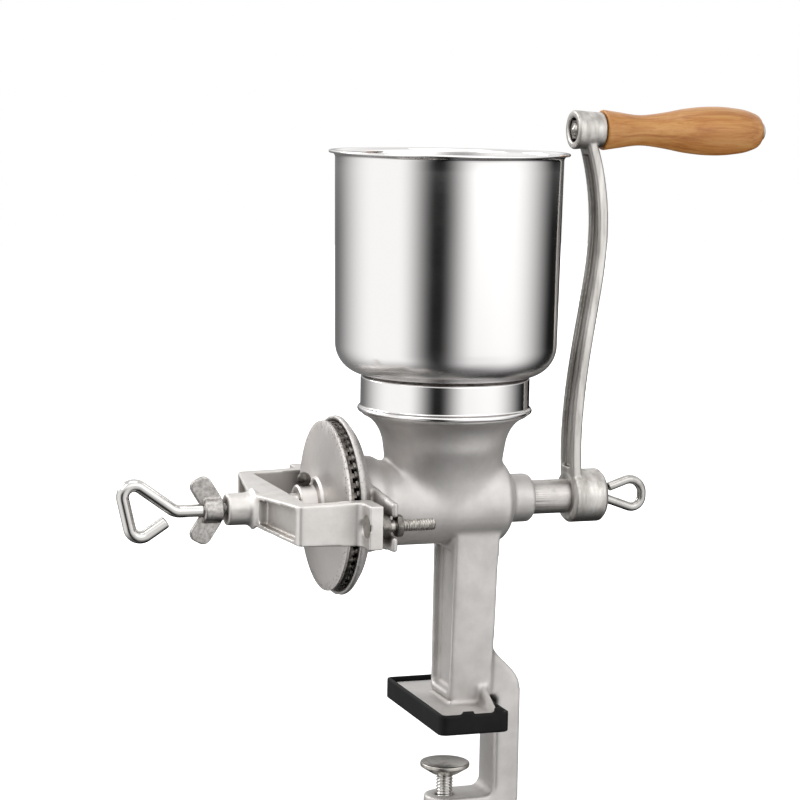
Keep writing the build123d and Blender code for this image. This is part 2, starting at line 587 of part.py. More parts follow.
def crank_arm():
    """The cast crank: two bosses and an S-curved arm with a groove down its face."""
    z0, z1 = ARM_ROUTE[0][1], ARM_ROUTE[-1][1]
    arm = arm_band(-ARM_THICK / 2, ARM_THICK / 2, ARM_LOW_WIDTH) & arm_taper(0, z0, z1)
    arm = chamfer(arm.edges().filter_by(lambda e: e.length > (z1 - z0) / 2), ARM_BEVEL)
    groove_low = AXIS_Z + CRANK_BOSS_R + 2
    groove_top = GRIP_AXIS_Z - TOP_BOSS_R - 3
    groove = arm_band(-ARM_THICK, -ARM_THICK / 2 + ARM_GROOVE, ARM_LOW_WIDTH) & arm_taper(ARM_RIM, z0, z1)
    groove &= block((0, 2 * CRANK_RIGHT_X), (-ARM_LOW_WIDTH, ARM_LOW_WIDTH), (groove_low, groove_top))
    low_boss = chamfer(rod_x(CRANK_BOSS_R, CRANK_LEFT_X, CRANK_RIGHT_X).edges(), CRANK_BOSS_BEVEL)
    top_profile = Polyline((TOP_BOSS_LEFT_X, 0), (TOP_BOSS_LEFT_X, TOP_BOSS_R - EDGE_BREAK),
                           (TOP_BOSS_LEFT_X + EDGE_BREAK, TOP_BOSS_R),
                           (TOP_BOSS_RIGHT_X, TOP_BOSS_R - TOP_BOSS_TAPER), (TOP_BOSS_RIGHT_X, 0),
                           close=True)
    top_boss = Pos(0, 0, GRIP_AXIS_Z - AXIS_Z) * turned_x(top_profile)
    crank = arm - groove + low_boss + top_boss
    pocket_x = CRANK_RIGHT_X - CRANK_WALL
    hole = SQUARE / 2 + RUN_FIT
    socket = block((CRANK_LEFT_X - 1, pocket_x), (-hole, hole), (AXIS_Z - hole, AXIS_Z + hole))
    socket &= rod_x(JOURNAL_R + RUN_FIT, CRANK_LEFT_X - 1, pocket_x)
    mouth_r = CRANK_SCREW_R + SLIP_FIT
    mouth = Polyline((pocket_x - 1, 0), (pocket_x - 1, mouth_r), (pocket_x + 1, mouth_r),
                     (CRANK_RIGHT_X + 1, mouth_r + CRANK_MOUTH), (CRANK_RIGHT_X + 1, 0), close=True)
    crank -= socket + turned_x(mouth)
    crank -= rod_x(SPINDLE_R + RUN_FIT, TOP_BOSS_LEFT_X - 1, TOP_BOSS_RIGHT_X + 1, z=GRIP_AXIS_Z)
    pocket_end = TOP_BOSS_LEFT_X + NUT_POCKET_DEPTH
    return crank - rod_x(NUT_POCKET_R, TOP_BOSS_LEFT_X - 1, pocket_end, z=GRIP_AXIS_Z)


def crank_screw():
    """The bent-wire screw that draws the crank onto the shaft."""
    screw = eye_screw(CRANK_SCREW_R, CRANK_SCREW_DEPTH, ROUND_EYE, ROUND_EYE_BENDS)
    return Pos(CRANK_SCREW_NECK_X, 0, AXIS_Z) * Rot(0, 0, 180) * Rot(90, 0, 0) * screw


def spindle_nut():
    """The nut in the crank's upper boss."""
    x0 = TOP_BOSS_LEFT_X + NUT_POCKET_DEPTH - NUT_THICK
    nut = hexagon_bar(NUT_FLATS, x0, x0 + NUT_THICK, 0, GRIP_AXIS_Z)
    return nut - rod_x(SPINDLE_R + RUN_FIT, x0 - 1, x0 + NUT_THICK + 1, z=GRIP_AXIS_Z)


def grip_spindle():
    """The spindle that the wooden grip turns on."""
    nose_x = TOP_BOSS_LEFT_X + 0.6
    shoulder_end = TOP_BOSS_RIGHT_X + SPINDLE_SHOULDER
    head_x = GRIP_END_X + FACE_FIT
    spindle = rod_x(SPINDLE_R, nose_x, head_x + 1, z=GRIP_AXIS_Z)
    spindle += rod_x(SPINDLE_SHOULDER_R, TOP_BOSS_RIGHT_X, shoulder_end, z=GRIP_AXIS_Z)
    head = rod_x(SPINDLE_HEAD_R, head_x, head_x + SPINDLE_HEAD, z=GRIP_AXIS_Z)
    head = fillet(head.edges().sort_by(Axis.X)[-1], SPINDLE_HEAD * 0.8)
    return spindle + head


def wooden_grip():
    """The turned grip: a waist by the crank and a belly near the tip."""
    start_x = TOP_BOSS_RIGHT_X + SLIP_FIT
    bore = SPINDLE_R + RUN_FIT
    recess_x = TOP_BOSS_RIGHT_X + SPINDLE_SHOULDER + SLIP_FIT
    recess_r = SPINDLE_SHOULDER_R + SLIP_FIT
    back = Spline((start_x + 1, GRIP_START_R), GRIP_WAIST, GRIP_BELLY, (GRIP_END_X - GRIP_NOSE, GRIP_NOSE_R),
                  (GRIP_END_X, GRIP_TIP_R))
    ends = Polyline((GRIP_END_X, GRIP_TIP_R), (GRIP_END_X, bore), (recess_x, bore), (recess_x, recess_r),
                    (start_x, recess_r), (start_x, GRIP_START_R - EDGE_BREAK), (start_x + 1, GRIP_START_R))
    return Pos(0, 0, GRIP_AXIS_Z - AXIS_Z) * turned_x(back, ends)


# ---- yoke, bolts and adjusting screw -----------------------------------------------
def uprights_at(shape, x, y):
    """The edges along Z at a place and at its mirror image."""
    return shape.edges().filter_by(Axis.Z).filter_by(
        lambda edge: abs(edge.center().X - x) < 0.1 and abs(abs(edge.center().Y) - y) < 0.1)


def yoke_band(inset):
    """The room between the yoke's upper and lower faces, which close in towards its boss."""
    side = [(YOKE_FRONT_X - YOKE_POCKET, YOKE_CENTRE_HEIGHT), (YOKE_FRONT_X, YOKE_CENTRE_HEIGHT),
            (YOKE_CORNER_X, YOKE_CORNER_HEIGHT), (EAR_FRONT_X, YOKE_HEIGHT), (0, YOKE_HEIGHT)]
    upper = [(x, height / 2 - inset) for x, height in side]
    lower = [(x, -z) for x, z in reversed(upper)]
    place = Plane((0, 0, AXIS_Z), x_dir=(1, 0, 0), z_dir=(0, -1, 0))
    return extrude(place * make_face(Polyline(*upper, *lower, close=True)), LUG_SPAN + 1, both=True)


def yoke():
    """The cast bracket that bridges the grinding plates."""
    inner = YOKE_HALF - YOKE_ARM
    ear_back = EAR_FRONT_X + EAR_THICK
    flat = YOKE_FLAT
    right = [(YOKE_FRONT_X, flat), (YOKE_CORNER_X, YOKE_HALF), (EAR_FRONT_X, YOKE_HALF),
             (EAR_FRONT_X, LUG_SPAN), (ear_back, LUG_SPAN), (ear_back, inner), (YOKE_INNER_X, inner)]
    left = [(x, -y) for x, y in reversed(right)]
    top_view = make_face(Polyline(*right, *left, close=True))
    bracket = extrude(Plane((0, 0, AXIS_Z)) * top_view, YOKE_HEIGHT / 2, both=True)
    bracket = fillet(uprights_at(bracket, YOKE_CORNER_X, YOKE_HALF), YOKE_CORNER_ROUND)
    bracket = fillet(uprights_at(bracket, EAR_FRONT_X, YOKE_HALF), YOKE_EAR_ROUND)
    bracket = fillet(uprights_at(bracket, YOKE_INNER_X, inner), YOKE_INNER_ROUND)
    bracket &= yoke_band(0)
    slope = (YOKE_CORNER_X - YOKE_FRONT_X) / (YOKE_HALF - flat)
    out_x = YOKE_FRONT_X - YOKE_POCKET
    for side in (-1, 1):
        y0, y1 = YOKE_BOSS_ROOT_R + 1, YOKE_HALF - 2 * YOKE_RIM
        floor0 = YOKE_FRONT_X + slope * (y0 - flat) + YOKE_POCKET
        floor1 = YOKE_FRONT_X + slope * (y1 - flat) + YOKE_POCKET
        outline = Polyline((floor0, side * y0), (floor1, side * y1), (out_x, side * y1), (out_x, side * y0),
                           close=True)
        panel = extrude(Plane((0, 0, AXIS_Z)) * make_face(outline), YOKE_HEIGHT, both=True)
        bracket -= panel & yoke_band(YOKE_RIM)
    root_r = YOKE_BOSS_ROOT_R
    root_x = YOKE_FRONT_X - YOKE_BOSS_ROOT
    shoulder = ThreePointArc((root_x, YOKE_BOSS_R), (YOKE_FRONT_X - YOKE_BOSS_ROOT * 0.32, YOKE_BOSS_R + 1),
                             (YOKE_FRONT_X, root_r))
    rest = Polyline((YOKE_FRONT_X, root_r), (YOKE_FRONT_X + 1, root_r), (YOKE_FRONT_X + 1, 0),
                    (YOKE_BOSS_X, 0), (YOKE_BOSS_X, YOKE_BOSS_R - EDGE_BREAK),
                    (YOKE_BOSS_X + EDGE_BREAK, YOKE_BOSS_R),
                    (root_x, YOKE_BOSS_R))
    bracket += turned_x(shoulder, rest)
    bracket -= rod_x(ADJUSTER_R + RUN_FIT, YOKE_BOSS_X - 1, YOKE_INNER_X + 1)
    for y in (-BOLT_Y, BOLT_Y):
        bracket -= bolt_form(y, RUN_FIT)
        bracket -= rod_x(BOLT_HEAD_R + SLIP_FIT, EAR_FRONT_X - YOKE_EAR_ROUND, EAR_FRONT_X + BOLT_SINK, y=y)
    return bracket


def bolt_form(y, growth):
    """A countersunk bolt, or with some growth the hole for it."""
    face_x = EAR_FRONT_X + BOLT_SINK
    head_r = BOLT_HEAD_R + growth
    shank_r = BOLT_R + growth
    side = Polyline((face_x, 0), (face_x, head_r), (face_x + BOLT_HEAD, shank_r),
                    (BOLT_END_X - EDGE_BREAK, shank_r), (BOLT_END_X, shank_r - EDGE_BREAK), (BOLT_END_X, 0),
                    close=True)
    return Pos(0, y, 0) * turned_x(side)


def yoke_bolts():
    """The two bolts through the yoke's ears and the casting's lugs."""
    return Compound(children=[bolt_form(y, 0) for y in (-BOLT_Y, BOLT_Y)])


def yoke_nuts():
    """On each bolt a nut that spaces the ear from the lug, and a nut behind the lug."""
    ear_back = EAR_FRONT_X + EAR_THICK
    lug_front = LUG_BACK_X - LUG_THICK
    places = [(ear_back, lug_front), (LUG_BACK_X, LUG_BACK_X + HEX_THICK)]
    nuts = []
    for y in (-BOLT_Y, BOLT_Y):
        for x0, x1 in places:
            crown = rod_x(HEX_FLATS / math.sqrt(3) - SLIP_FIT, x0, x1, y=y)
            nut = hexagon_bar(HEX_FLATS, x0, x1, y, AXIS_Z) & chamfer(crown.edges(), EDGE_BREAK / 2)
            nuts.append(nut - rod_x(BOLT_R + RUN_FIT, x0 - 1, x1 + 1, y=y))
    return Compound(children=nuts)


def adjusting_screw():
    """The bent-wire screw that sets the gap between the grinding plates."""
    tip_x = BALL_X - BALL_R - FACE_FIT
    corners = [(out * ADJUSTER_R, side * ADJUSTER_R) for out, side in TEARDROP_RATIOS]
    bends = [bend * ADJUSTER_R for bend in TEARDROP_BEND_RATIOS]
    screw = eye_screw(ADJUSTER_R, tip_x - ADJUSTER_NECK_X, corners, bends)
    return Pos(ADJUSTER_NECK_X, 0, AXIS_Z) * Rot(90, 0, 0) * screw


def wing_nut():
    """The lock nut: a hub and two wings that sweep back from the yoke."""
    hub = chamfer(rod_x(LOCK_HUB_R, LOCK_LEFT_X, LOCK_RIGHT_X).edges(), EDGE_BREAK)
    tip = WING_SPAN / 2
    for side in (-1, 1):
        outline = FilletPolyline((LOCK_RIGHT_X - 0.5, 2 * side), (LOCK_RIGHT_X - 0.5, 7.5 * side),
                                 (LOCK_LEFT_X + 2.0, (tip + 2) * side), (WING_TIP_X - 1.5, (tip - 4) * side),
                                 (LOCK_LEFT_X - 1.0, 2 * side), radius=[0, 2, 5, 4.5, 0], close=True)
        place = Plane((0, 0, AXIS_Z), x_dir=(1, 0, 0), z_dir=(0, -1, 0))
        hub += extrude(place * make_face(outline), WING_THICK / 2, both=True)
    return hub - rod_x(ADJUSTER_R + RUN_FIT, WING_TIP_X - 5, LOCK_RIGHT_X + 1)


# ---- clamp screw ----------------------------------------------------------------
def pressure_disc():
    """The swivelling disc that bears on the underside of the table."""
    low = DISC_TOP_Z - DISC_THICK
    side = Polyline((0, low), (CLAMP_R + 3, low), (DISC_R, DISC_TOP_Z - 2.5), (DISC_R, DISC_TOP_Z - 0.6),
                    (DISC_R - 0.6, DISC_TOP_Z), (0, DISC_TOP_Z), close=True)
    disc = Pos(CLAMP_X, 0, 0) * turned_z(side)
    return disc - rod_z(CLAMP_TIP_R + RUN_FIT, low - 1, low + DISC_SOCKET, x=CLAMP_X)


def clamp_screw():
    """The clamp's screw, bent from one rod like the adjusting screw."""
    shoulder_z = DISC_TOP_Z - DISC_THICK - SLIP_FIT
    corners = [(out * CLAMP_R, side * CLAMP_R) for out, side in TEARDROP_RATIOS]
    bends = [bend * CLAMP_R for bend in TEARDROP_BEND_RATIOS]
    screw = eye_screw(CLAMP_R, shoulder_z - CLAMP_NECK_Z, corners, bends)
    screw = Pos(CLAMP_X, 0, CLAMP_NECK_Z) * Rot(0, -90, 0) * Rot(90, 0, 0) * screw
    tip_z = DISC_TOP_Z - DISC_THICK + DISC_SOCKET - FACE_FIT
    return screw + rod_z(CLAMP_TIP_R, shoulder_z - 1, tip_z, x=CLAMP_X)


# ---- hopper ---------------------------------------------------------------------
def hopper_collar():
    """The short sleeve under the cup, with a rolled lower edge."""
    top = NECK_TOP_Z + COLLAR_HEIGHT
    inner = COLLAR_R - SHEET
    bead = 2 * COLLAR_BEAD
    foot_r = COLLAR_R + COLLAR_BEAD - EDGE_BREAK
    wall = Polyline((inner, top), (inner, NECK_TOP_Z), (foot_r, NECK_TOP_Z))
    belly = (COLLAR_R + COLLAR_BEAD, NECK_TOP_Z + bead / 3)
    roll = ThreePointArc((foot_r, NECK_TOP_Z), belly, (COLLAR_R, NECK_TOP_Z + bead))
    side = Polyline((COLLAR_R, NECK_TOP_Z + bead), (COLLAR_R, top), (inner, top))
    return turned_z(wall, roll, side)


def cup_form(inset, top):
    """The cup's body of revolution, drawn in by inset from its outer skin."""
    base = NECK_TOP_Z + COLLAR_HEIGHT + inset
    low_r = CUP_LOW_R - inset
    high_r = CUP_TOP_R - inset
    corner = CUP_CORNER - inset
    turn = corner * (1 - math.sqrt(0.5))
    floor = Line((0, base), (low_r - corner, base))
    bend = ThreePointArc((low_r - corner, base), (low_r - turn, base + turn), (low_r, base + corner))
    side = Polyline((low_r, base + corner), (high_r, top), (0, top), (0, base))
    return turned_z(floor, bend, side)


def hopper_cup():
    """The spun steel cup with its flared lip and its outlet."""
    top = NECK_TOP_Z + COLLAR_HEIGHT + CUP_HEIGHT
    cup = cup_form(0, top) - cup_form(SHEET, top + 1)
    lip = rod_z(CUP_TOP_R + RIM_OVERHANG, top - RIM_THICK, top) - rod_z(CUP_TOP_R - SHEET, top - 5, top + 1)
    lip = fillet(lip.edges().group_by(SortBy.LENGTH)[-1], RIM_THICK * 0.45)
    cup += lip
    return cup - rod_z(OUTLET_R, top - CUP_HEIGHT - 1, top - CUP_HEIGHT + SHEET + 1)


# ---- write every sub-part ---------------------------------------------------------
PIECES = [mill_body, foot_pad, fixed_burr, rotating_burr, burr_carrier, auger, steel_ball, hub_pin,
          crank_arm, crank_screw, spindle_nut, grip_spindle, wooden_grip, yoke, yoke_bolts, yoke_nuts,
          adjusting_screw, wing_nut, pressure_disc, clamp_screw, hopper_collar, hopper_cup]

for piece in PIECES:
    save(piece(), piece.__name__)
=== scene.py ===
"""Looks of a clamp-on hand crank grinder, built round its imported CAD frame.

X runs along the shaft towards the crank, Y away from the front and Z up. The origin is on the
hopper's axis, on the underside of the foot pad. Sizes in the classes are in millimetres, and the
meshes are in metres. Cast pieces are copies of their CAD nodes with softened edges; spun, turned,
bent and threaded pieces are surfaces worked out with numpy.
"""

import json
import logging
import math
from contextlib import contextmanager
from dataclasses import dataclass
from enum import Enum
from functools import partial
from typing import Any, Callable, Iterator, Sequence

import bmesh
import bpy
import numpy as np
from bpy.types import ID, Material, Mesh, Node, NodeSocket, NodeTree, Object
from mathutils import Matrix, Vector
from numpy.typing import NDArray


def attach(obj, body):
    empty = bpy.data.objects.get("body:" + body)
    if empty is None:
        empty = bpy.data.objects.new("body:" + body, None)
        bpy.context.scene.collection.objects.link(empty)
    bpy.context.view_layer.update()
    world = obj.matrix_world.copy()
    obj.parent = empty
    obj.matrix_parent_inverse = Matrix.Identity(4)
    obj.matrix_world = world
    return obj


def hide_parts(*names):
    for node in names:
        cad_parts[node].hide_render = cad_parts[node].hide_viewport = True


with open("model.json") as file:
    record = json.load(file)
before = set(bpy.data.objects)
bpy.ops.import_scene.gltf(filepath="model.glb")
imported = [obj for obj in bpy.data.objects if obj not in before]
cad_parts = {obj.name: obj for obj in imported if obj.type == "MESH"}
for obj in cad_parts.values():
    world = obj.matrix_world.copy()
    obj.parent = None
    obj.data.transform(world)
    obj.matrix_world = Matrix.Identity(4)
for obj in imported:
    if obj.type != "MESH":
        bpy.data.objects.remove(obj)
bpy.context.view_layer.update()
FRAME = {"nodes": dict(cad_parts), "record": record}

Array = NDArray[np.float64]
MM = 0.001
AXIS_Z = 131.3  # the shaft's height over the table
GRIP_Z = 353.8  # the grip's axis
NODE_BODY = {node: body for body, nodes in FRAME["record"]["behaviour"]["bodies"].items() for node in nodes}

FLAT_ANGLE = math.radians(0.5)  # CAD triangles that turn by less lie in one face

log = logging.getLogger("grinder")


# ---- arrays ---------------------------------------------------------------------------------
def run_lengths(path: Array) -> Array:
    """The distance from a path's first point to each of its points, along the path."""
    return np.concatenate([[0.0], np.cumsum(np.linalg.norm(np.diff(path, axis=0), axis=1))])


def round_angles(count: int) -> Array:
    """Angles of evenly spaced places round a full circle, in radians."""
    return np.linspace(0, 2 * np.pi, count, endpoint=False)


def line(start: Sequence[float], end: Sequence[float], count: int) -> Array:
    """Points on a straight run, evenly spaced.

    Args:
        start: First point.
        end: Last point, which is included.
        count: How many points.

    Returns:
        An array of count points.
    """
    share = np.linspace(0.0, 1.0, count)[:, None]
    return (1 - share) * np.asarray(start, float) + share * np.asarray(end, float)


def arc(centre: Sequence[float], radius: float, start_deg: float, end_deg: float, count: int) -> Array:
    """Points on a circular arc: centre plus radius times (cosine, sine) of an even run of angles.

    Args:
        centre: The arc's centre in the plane.
        radius: Its radius.
        start_deg: Angle of the first point.
        end_deg: Angle of the last point.
        count: How many points.

    Returns:
        An array of count points in the plane.
    """
    angle = np.radians(np.linspace(start_deg, end_deg, count))
    return np.asarray(centre, float) + radius * np.stack([np.cos(angle), np.sin(angle)], axis=1)


def smooth_curve(points: Sequence[Sequence[float]], count: int) -> Array:
    """A centripetal-like Catmull-Rom curve through points: cubic blends with tangents from neighbours.

    Args:
        points: Points that the curve passes through.
        count: How many points the whole curve gets.

    Returns:
        An array of count points.
    """
    knots = np.asarray(points, float)
    at = run_lengths(knots)
    tangent = np.gradient(knots, at, axis=0)
    where = np.linspace(0.0, at[-1], count)
    cell = np.clip(np.searchsorted(at, where, side="right") - 1, 0, len(at) - 2)
    width = np.diff(at)[cell][:, None]
    t = (where[:, None] - at[cell][:, None]) / width
    rise = 3 * t ** 2 - 2 * t ** 3
    ends = (1 - rise) * knots[cell] + rise * knots[cell + 1]
    bow = (t ** 3 - 2 * t ** 2 + t) * tangent[cell] + (t ** 3 - t ** 2) * tangent[cell + 1]
    return ends + width * bow


def bent_rod(corners: Array, bends: Sequence[float], step: float) -> Array:
    """The centre line of a bent rod: straight runs joined by arcs of the given radii, evenly sampled.

    Each arc touches its two runs, at radius times the tangent of half the turn from the corner.

    Args:
        corners: Corner points in the plane, ends included.
        bends: Radius at each inner corner.
        step: Distance between the points that come out.

    Returns:
        Points along the centre line, one step apart.
    """
    pieces = [corners[:1]]
    for before, corner, after, radius in zip(corners[:-2], corners[1:-1], corners[2:], bends):
        into = (corner - before) / np.linalg.norm(corner - before)
        out = (after - corner) / np.linalg.norm(after - corner)
        side = math.copysign(1.0, into[0] * out[1] - into[1] * out[0])
        turn = math.acos(float(np.clip(into @ out, -1.0, 1.0)))
        start = corner - into * radius * math.tan(turn / 2)
        centre = start + side * radius * np.array([-into[1], into[0]])
        first = math.degrees(math.atan2(*(start - centre)[::-1]))
        pieces.append(arc(centre, radius, first, first + side * math.degrees(turn), 25))
    path = np.concatenate(pieces + [corners[-1:]])
    length = run_lengths(path)
    where = np.linspace(0.0, length[-1], int(length[-1] / step) + 1)
    return np.stack([np.interp(where, length, path[:, 0]), np.interp(where, length, path[:, 1])], axis=1)


def thread_wave(along: Array, angle: Array, pitch: float) -> Array:
    """A screw thread's height from 0 in its root to 1 on its crest: a clipped triangle wave of turns.

    Args:
        along: Distance along the screw's axis.
        angle: Angle round it in radians, in the same shape.
        pitch: Distance between two crests.

    Returns:
        The height share at each place.
    """
    turns = along / pitch - angle / (2 * np.pi)
    ramp = 2 * np.abs(turns - np.floor(turns) - 0.5)
    return np.clip(1.6 * ramp - 0.3, 0.0, 1.0)


# ---- meshes ---------------------------------------------------------------------------------
@contextmanager
def opened(mesh: Mesh) -> Iterator[bmesh.types.BMesh]:
    """Opens a mesh for bmesh's tools, and writes it back when they are done."""
    tools = bmesh.new()
    tools.from_mesh(mesh)
    yield tools
    tools.to_mesh(mesh)
    tools.free()


def put_in_scene(name: str, data: ID) -> Object:
    """Puts a mesh, a lamp or a camera into the scene, as an object at the origin."""
    obj = bpy.data.objects.new(name, data)
    bpy.context.scene.collection.objects.link(obj)
    return obj


def make_object(name: str, points: Array, faces: Sequence[Any], sharp_deg: float = 35.0) -> Object:
    """Puts points and faces into a mesh object at the origin, smooth but for its sharp edges.

    Args:
        name: The object's name.
        points: Vertices in millimetres.
        faces: Arrays of faces, each of one corner count.
        sharp_deg: Edges that turn by more stay sharp.

    Returns:
        The new object, linked to the scene.
    """
    mesh = bpy.data.meshes.new(name)
    corners = [corner for block in faces for corner in np.asarray(block).tolist()]
    mesh.from_pydata((points * MM).tolist(), [], corners)
    mesh.validate()
    with opened(mesh) as tools:
        bmesh.ops.remove_doubles(tools, verts=tools.verts, dist=1e-7)
        bmesh.ops.recalc_face_normals(tools, faces=tools.faces)
    mesh.shade_smooth()
    mesh.set_sharp_from_angle(angle=math.radians(sharp_deg))
    return put_in_scene(name, mesh)


def grid_faces(rows: int, columns: int, close_rows: bool, start: int = 0) -> NDArray[np.int64]:
    """Quads over a grid whose columns run round and close.

    Args:
        rows: Number of rings.
        columns: Points in each ring.
        close_rows: True where the last ring joins the first.
        start: Index of the grid's first vertex.

    Returns:
        An array of quads.
    """
    row = np.arange(rows if close_rows else rows - 1)[:, None]
    column = np.arange(columns)[None, :]
    next_row = (row + 1) % rows
    next_column = (column + 1) % columns
    quads = np.stack([row * columns + column, row * columns + next_column,
                      next_row * columns + next_column, next_row * columns + column], axis=-1)
    return quads.reshape(-1, 4) + start


def turned(name: str, profile: Array, along: str, centre_z: float = 0.0, count: int = 160,
           sharp_deg: float = 35.0) -> Object:
    """A turned or spun piece: a closed (radius, height) outline swept round X or Z.

    A point at angle a is (height, radius cos a, radius sin a) about X, or (radius cos a,
    radius sin a, height) about Z.

    Args:
        name: The object's name.
        profile: The closed outline in millimetres, without its first point repeated.
        along: "x" or "z".
        centre_z: Height of an axis along X.
        count: Points round it.
        sharp_deg: Edges that turn by more stay sharp.

    Returns:
        The new object.
    """
    angle = round_angles(count)
    radius, height = profile[:, :1], profile[:, 1:]
    wide, tall = radius * np.cos(angle), radius * np.sin(angle)
    level = np.broadcast_to(height, wide.shape)
    order = [level, wide, tall + centre_z] if along == "x" else [wide, tall, level]
    points = np.stack(order, axis=-1).reshape(-1, 3)
    return make_object(name, points, [grid_faces(len(profile), count, close_rows=True)], sharp_deg)


def swept(name: str, path: Array, side: Array, radius: Array, sharp_deg: float = 60.0) -> Object:
    """A rod along a path: rings of the given radii, square to the path, closed by a point at each end.

    A ring's point at angle a is path + radius (cos a across + sin a side), where across is the
    side vector crossed with the path's direction.

    Args:
        name: The object's name.
        path: Points of the centre line, in space.
        side: The unit vector square to the plane that the path lies in.
        radius: Radii, one row for each path point and one column for each angle.
        sharp_deg: Edges that turn by more stay sharp.

    Returns:
        The new object.
    """
    rows, columns = radius.shape
    angle = round_angles(columns)
    direction = np.gradient(path, axis=0)
    direction /= np.linalg.norm(direction, axis=1, keepdims=True)
    across = np.cross(side, direction)
    spokes = np.cos(angle)[None, :, None] * across[:, None, :] + np.sin(angle)[None, :, None] * side
    rings = path[:, None, :] + radius[:, :, None] * spokes
    points = np.concatenate([rings.reshape(-1, 3), path[:1], path[-1:]])
    turn = np.arange(columns)
    after = (turn + 1) % columns
    first = np.stack([turn, after, np.full(columns, rows * columns)], axis=1)
    last_row = (rows - 1) * columns
    last = np.stack([last_row + turn, last_row + after, np.full(columns, rows * columns + 1)], axis=1)
    return make_object(name, points, [grid_faces(rows, columns, False), first, last], sharp_deg)


def node_copy(node: str, name: str) -> Object:
    """Copies a CAD node's mesh into a new object with its doubles merged.

    Args:
        node: The CAD node's name.
        name: The new object's name.

    Returns:
        The new object, at the origin as the node is.
    """
    mesh = FRAME["nodes"][node].data.copy()
    mesh.name = name
    mesh.materials.clear()
    with opened(mesh) as tools:
        bmesh.ops.remove_doubles(tools, verts=tools.verts, dist=2e-6)
        bmesh.ops.dissolve_degenerate(tools, edges=tools.edges, dist=1e-6)
    return put_in_scene(name, mesh)


def bake_modifiers(obj: Object) -> None:
    """Turns the object's modifiers into its mesh."""
    graph = bpy.context.evaluated_depsgraph_get()
    mesh = bpy.data.meshes.new_from_object(obj.evaluated_get(graph))
    obj.modifiers.clear()
    obj.data = mesh
    mesh.name = obj.name


def cast_copy(node: str, name: str, grain_mm: float, rounds: int = 3) -> Object:
    """A CAD node as a casting: its edges and inner corners softened as sand moulds leave them.

    Args:
        node: The CAD node's name.
        name: The new object's name.
        grain_mm: Size of the remeshed faces.
        rounds: How often the surface is smoothed.

    Returns:
        The new object.
    """
    obj = node_copy(node, name)
    remesh = obj.modifiers.new("grain", "REMESH")
    remesh.mode = "VOXEL"
    remesh.voxel_size = grain_mm * MM
    soften = obj.modifiers.new("soften", "SMOOTH")
    soften.factor = 0.5
    soften.iterations = rounds
    bake_modifiers(obj)
    obj.data.shade_smooth()
    return obj


def machined_copy(node: str, name: str, bevel_mm: float = 0.0, sharp_deg: float = 30.0) -> Object:
    """A CAD node as a machined piece: smooth curves, crisp edges and a fine bevel where one is asked for.

    Args:
        node: The CAD node's name.
        name: The new object's name.
        bevel_mm: Width of the bevel, or 0 for none.
        sharp_deg: Edges that turn by more are sharp or bevelled.

    Returns:
        The new object.
    """
    obj = node_copy(node, name)
    if bevel_mm:
        with opened(obj.data) as tools:
            bmesh.ops.dissolve_limit(tools, angle_limit=FLAT_ANGLE, verts=tools.verts, edges=tools.edges)
        bevel = obj.modifiers.new("edge", "BEVEL")
        bevel.width = bevel_mm * MM
        bevel.segments = 2
        bevel.limit_method = "ANGLE"
        bevel.angle_limit = math.radians(sharp_deg)
        bake_modifiers(obj)
    obj.data.shade_smooth()
    obj.data.set_sharp_from_angle(angle=math.radians(sharp_deg))
    return obj


# ---- finishes -------------------------------------------------------------------------------
def linear(colour: str) -> tuple[float, float, float, float]:
    """Turns an sRGB hex colour such as "#B5B0AE" to linear RGBA."""
    channels = [int(colour[i:i + 2], 16) / 255 for i in (1, 3, 5)]
    straight = [c / 12.92 if c <= 0.04045 else ((c + 0.055) / 1.055) ** 2.4 for c in channels]
    return (*straight, 1.0)


def add_node(tree: NodeTree, kind: str, inputs: dict[Any, Any] | None = None,
             **settings: Any) -> Node:
    """Adds one node with its settings, input values and links.

    Args:
        tree: The node tree.
        kind: The node's type, without its "ShaderNode" prefix.
        inputs: Values, output sockets, or nodes for their first output, by input name or number.
        settings: Attributes of the node. "stops" fills a colour ramp with (place, hex colour) pairs, and
            "span" gives the ends that a map range goes from, and then those that it goes to.

    Returns:
        The new node.
    """
    node = tree.nodes.new("ShaderNode" + kind)
    stops = settings.pop("stops", None)
    ends = dict(zip(("From Min", "From Max", "To Min", "To Max"), settings.pop("span", ())))
    for name, value in settings.items():
        setattr(node, name, value)
    if stops:
        ramp = node.color_ramp
        while len(ramp.elements) < len(stops):
            ramp.elements.new(0.5)
        for element, (place, colour) in zip(ramp.elements, stops):
            element.position = place
            element.color = linear(colour)
    for name, value in ((inputs or {}) | ends).items():
        if isinstance(value, Node):
            value = value.outputs[0]
        if isinstance(value, NodeSocket):
            tree.links.new(value, node.inputs[name])
        else:
            node.inputs[name].default_value = value
    return node


def new_material(name: str) -> tuple[Material, Callable[..., Node]]:
    """Makes an empty node material and returns it with the function that adds a node to it."""
    material = bpy.data.materials.new(name)
    material.use_nodes = True
    material.node_tree.nodes.clear()
    return material, partial(add_node, material.node_tree)


def per_metre(size_mm: float) -> float:
    """A texture's scale for a feature of the given size: its number of features in a metre."""
    return 1.0 / (size_mm * MM)


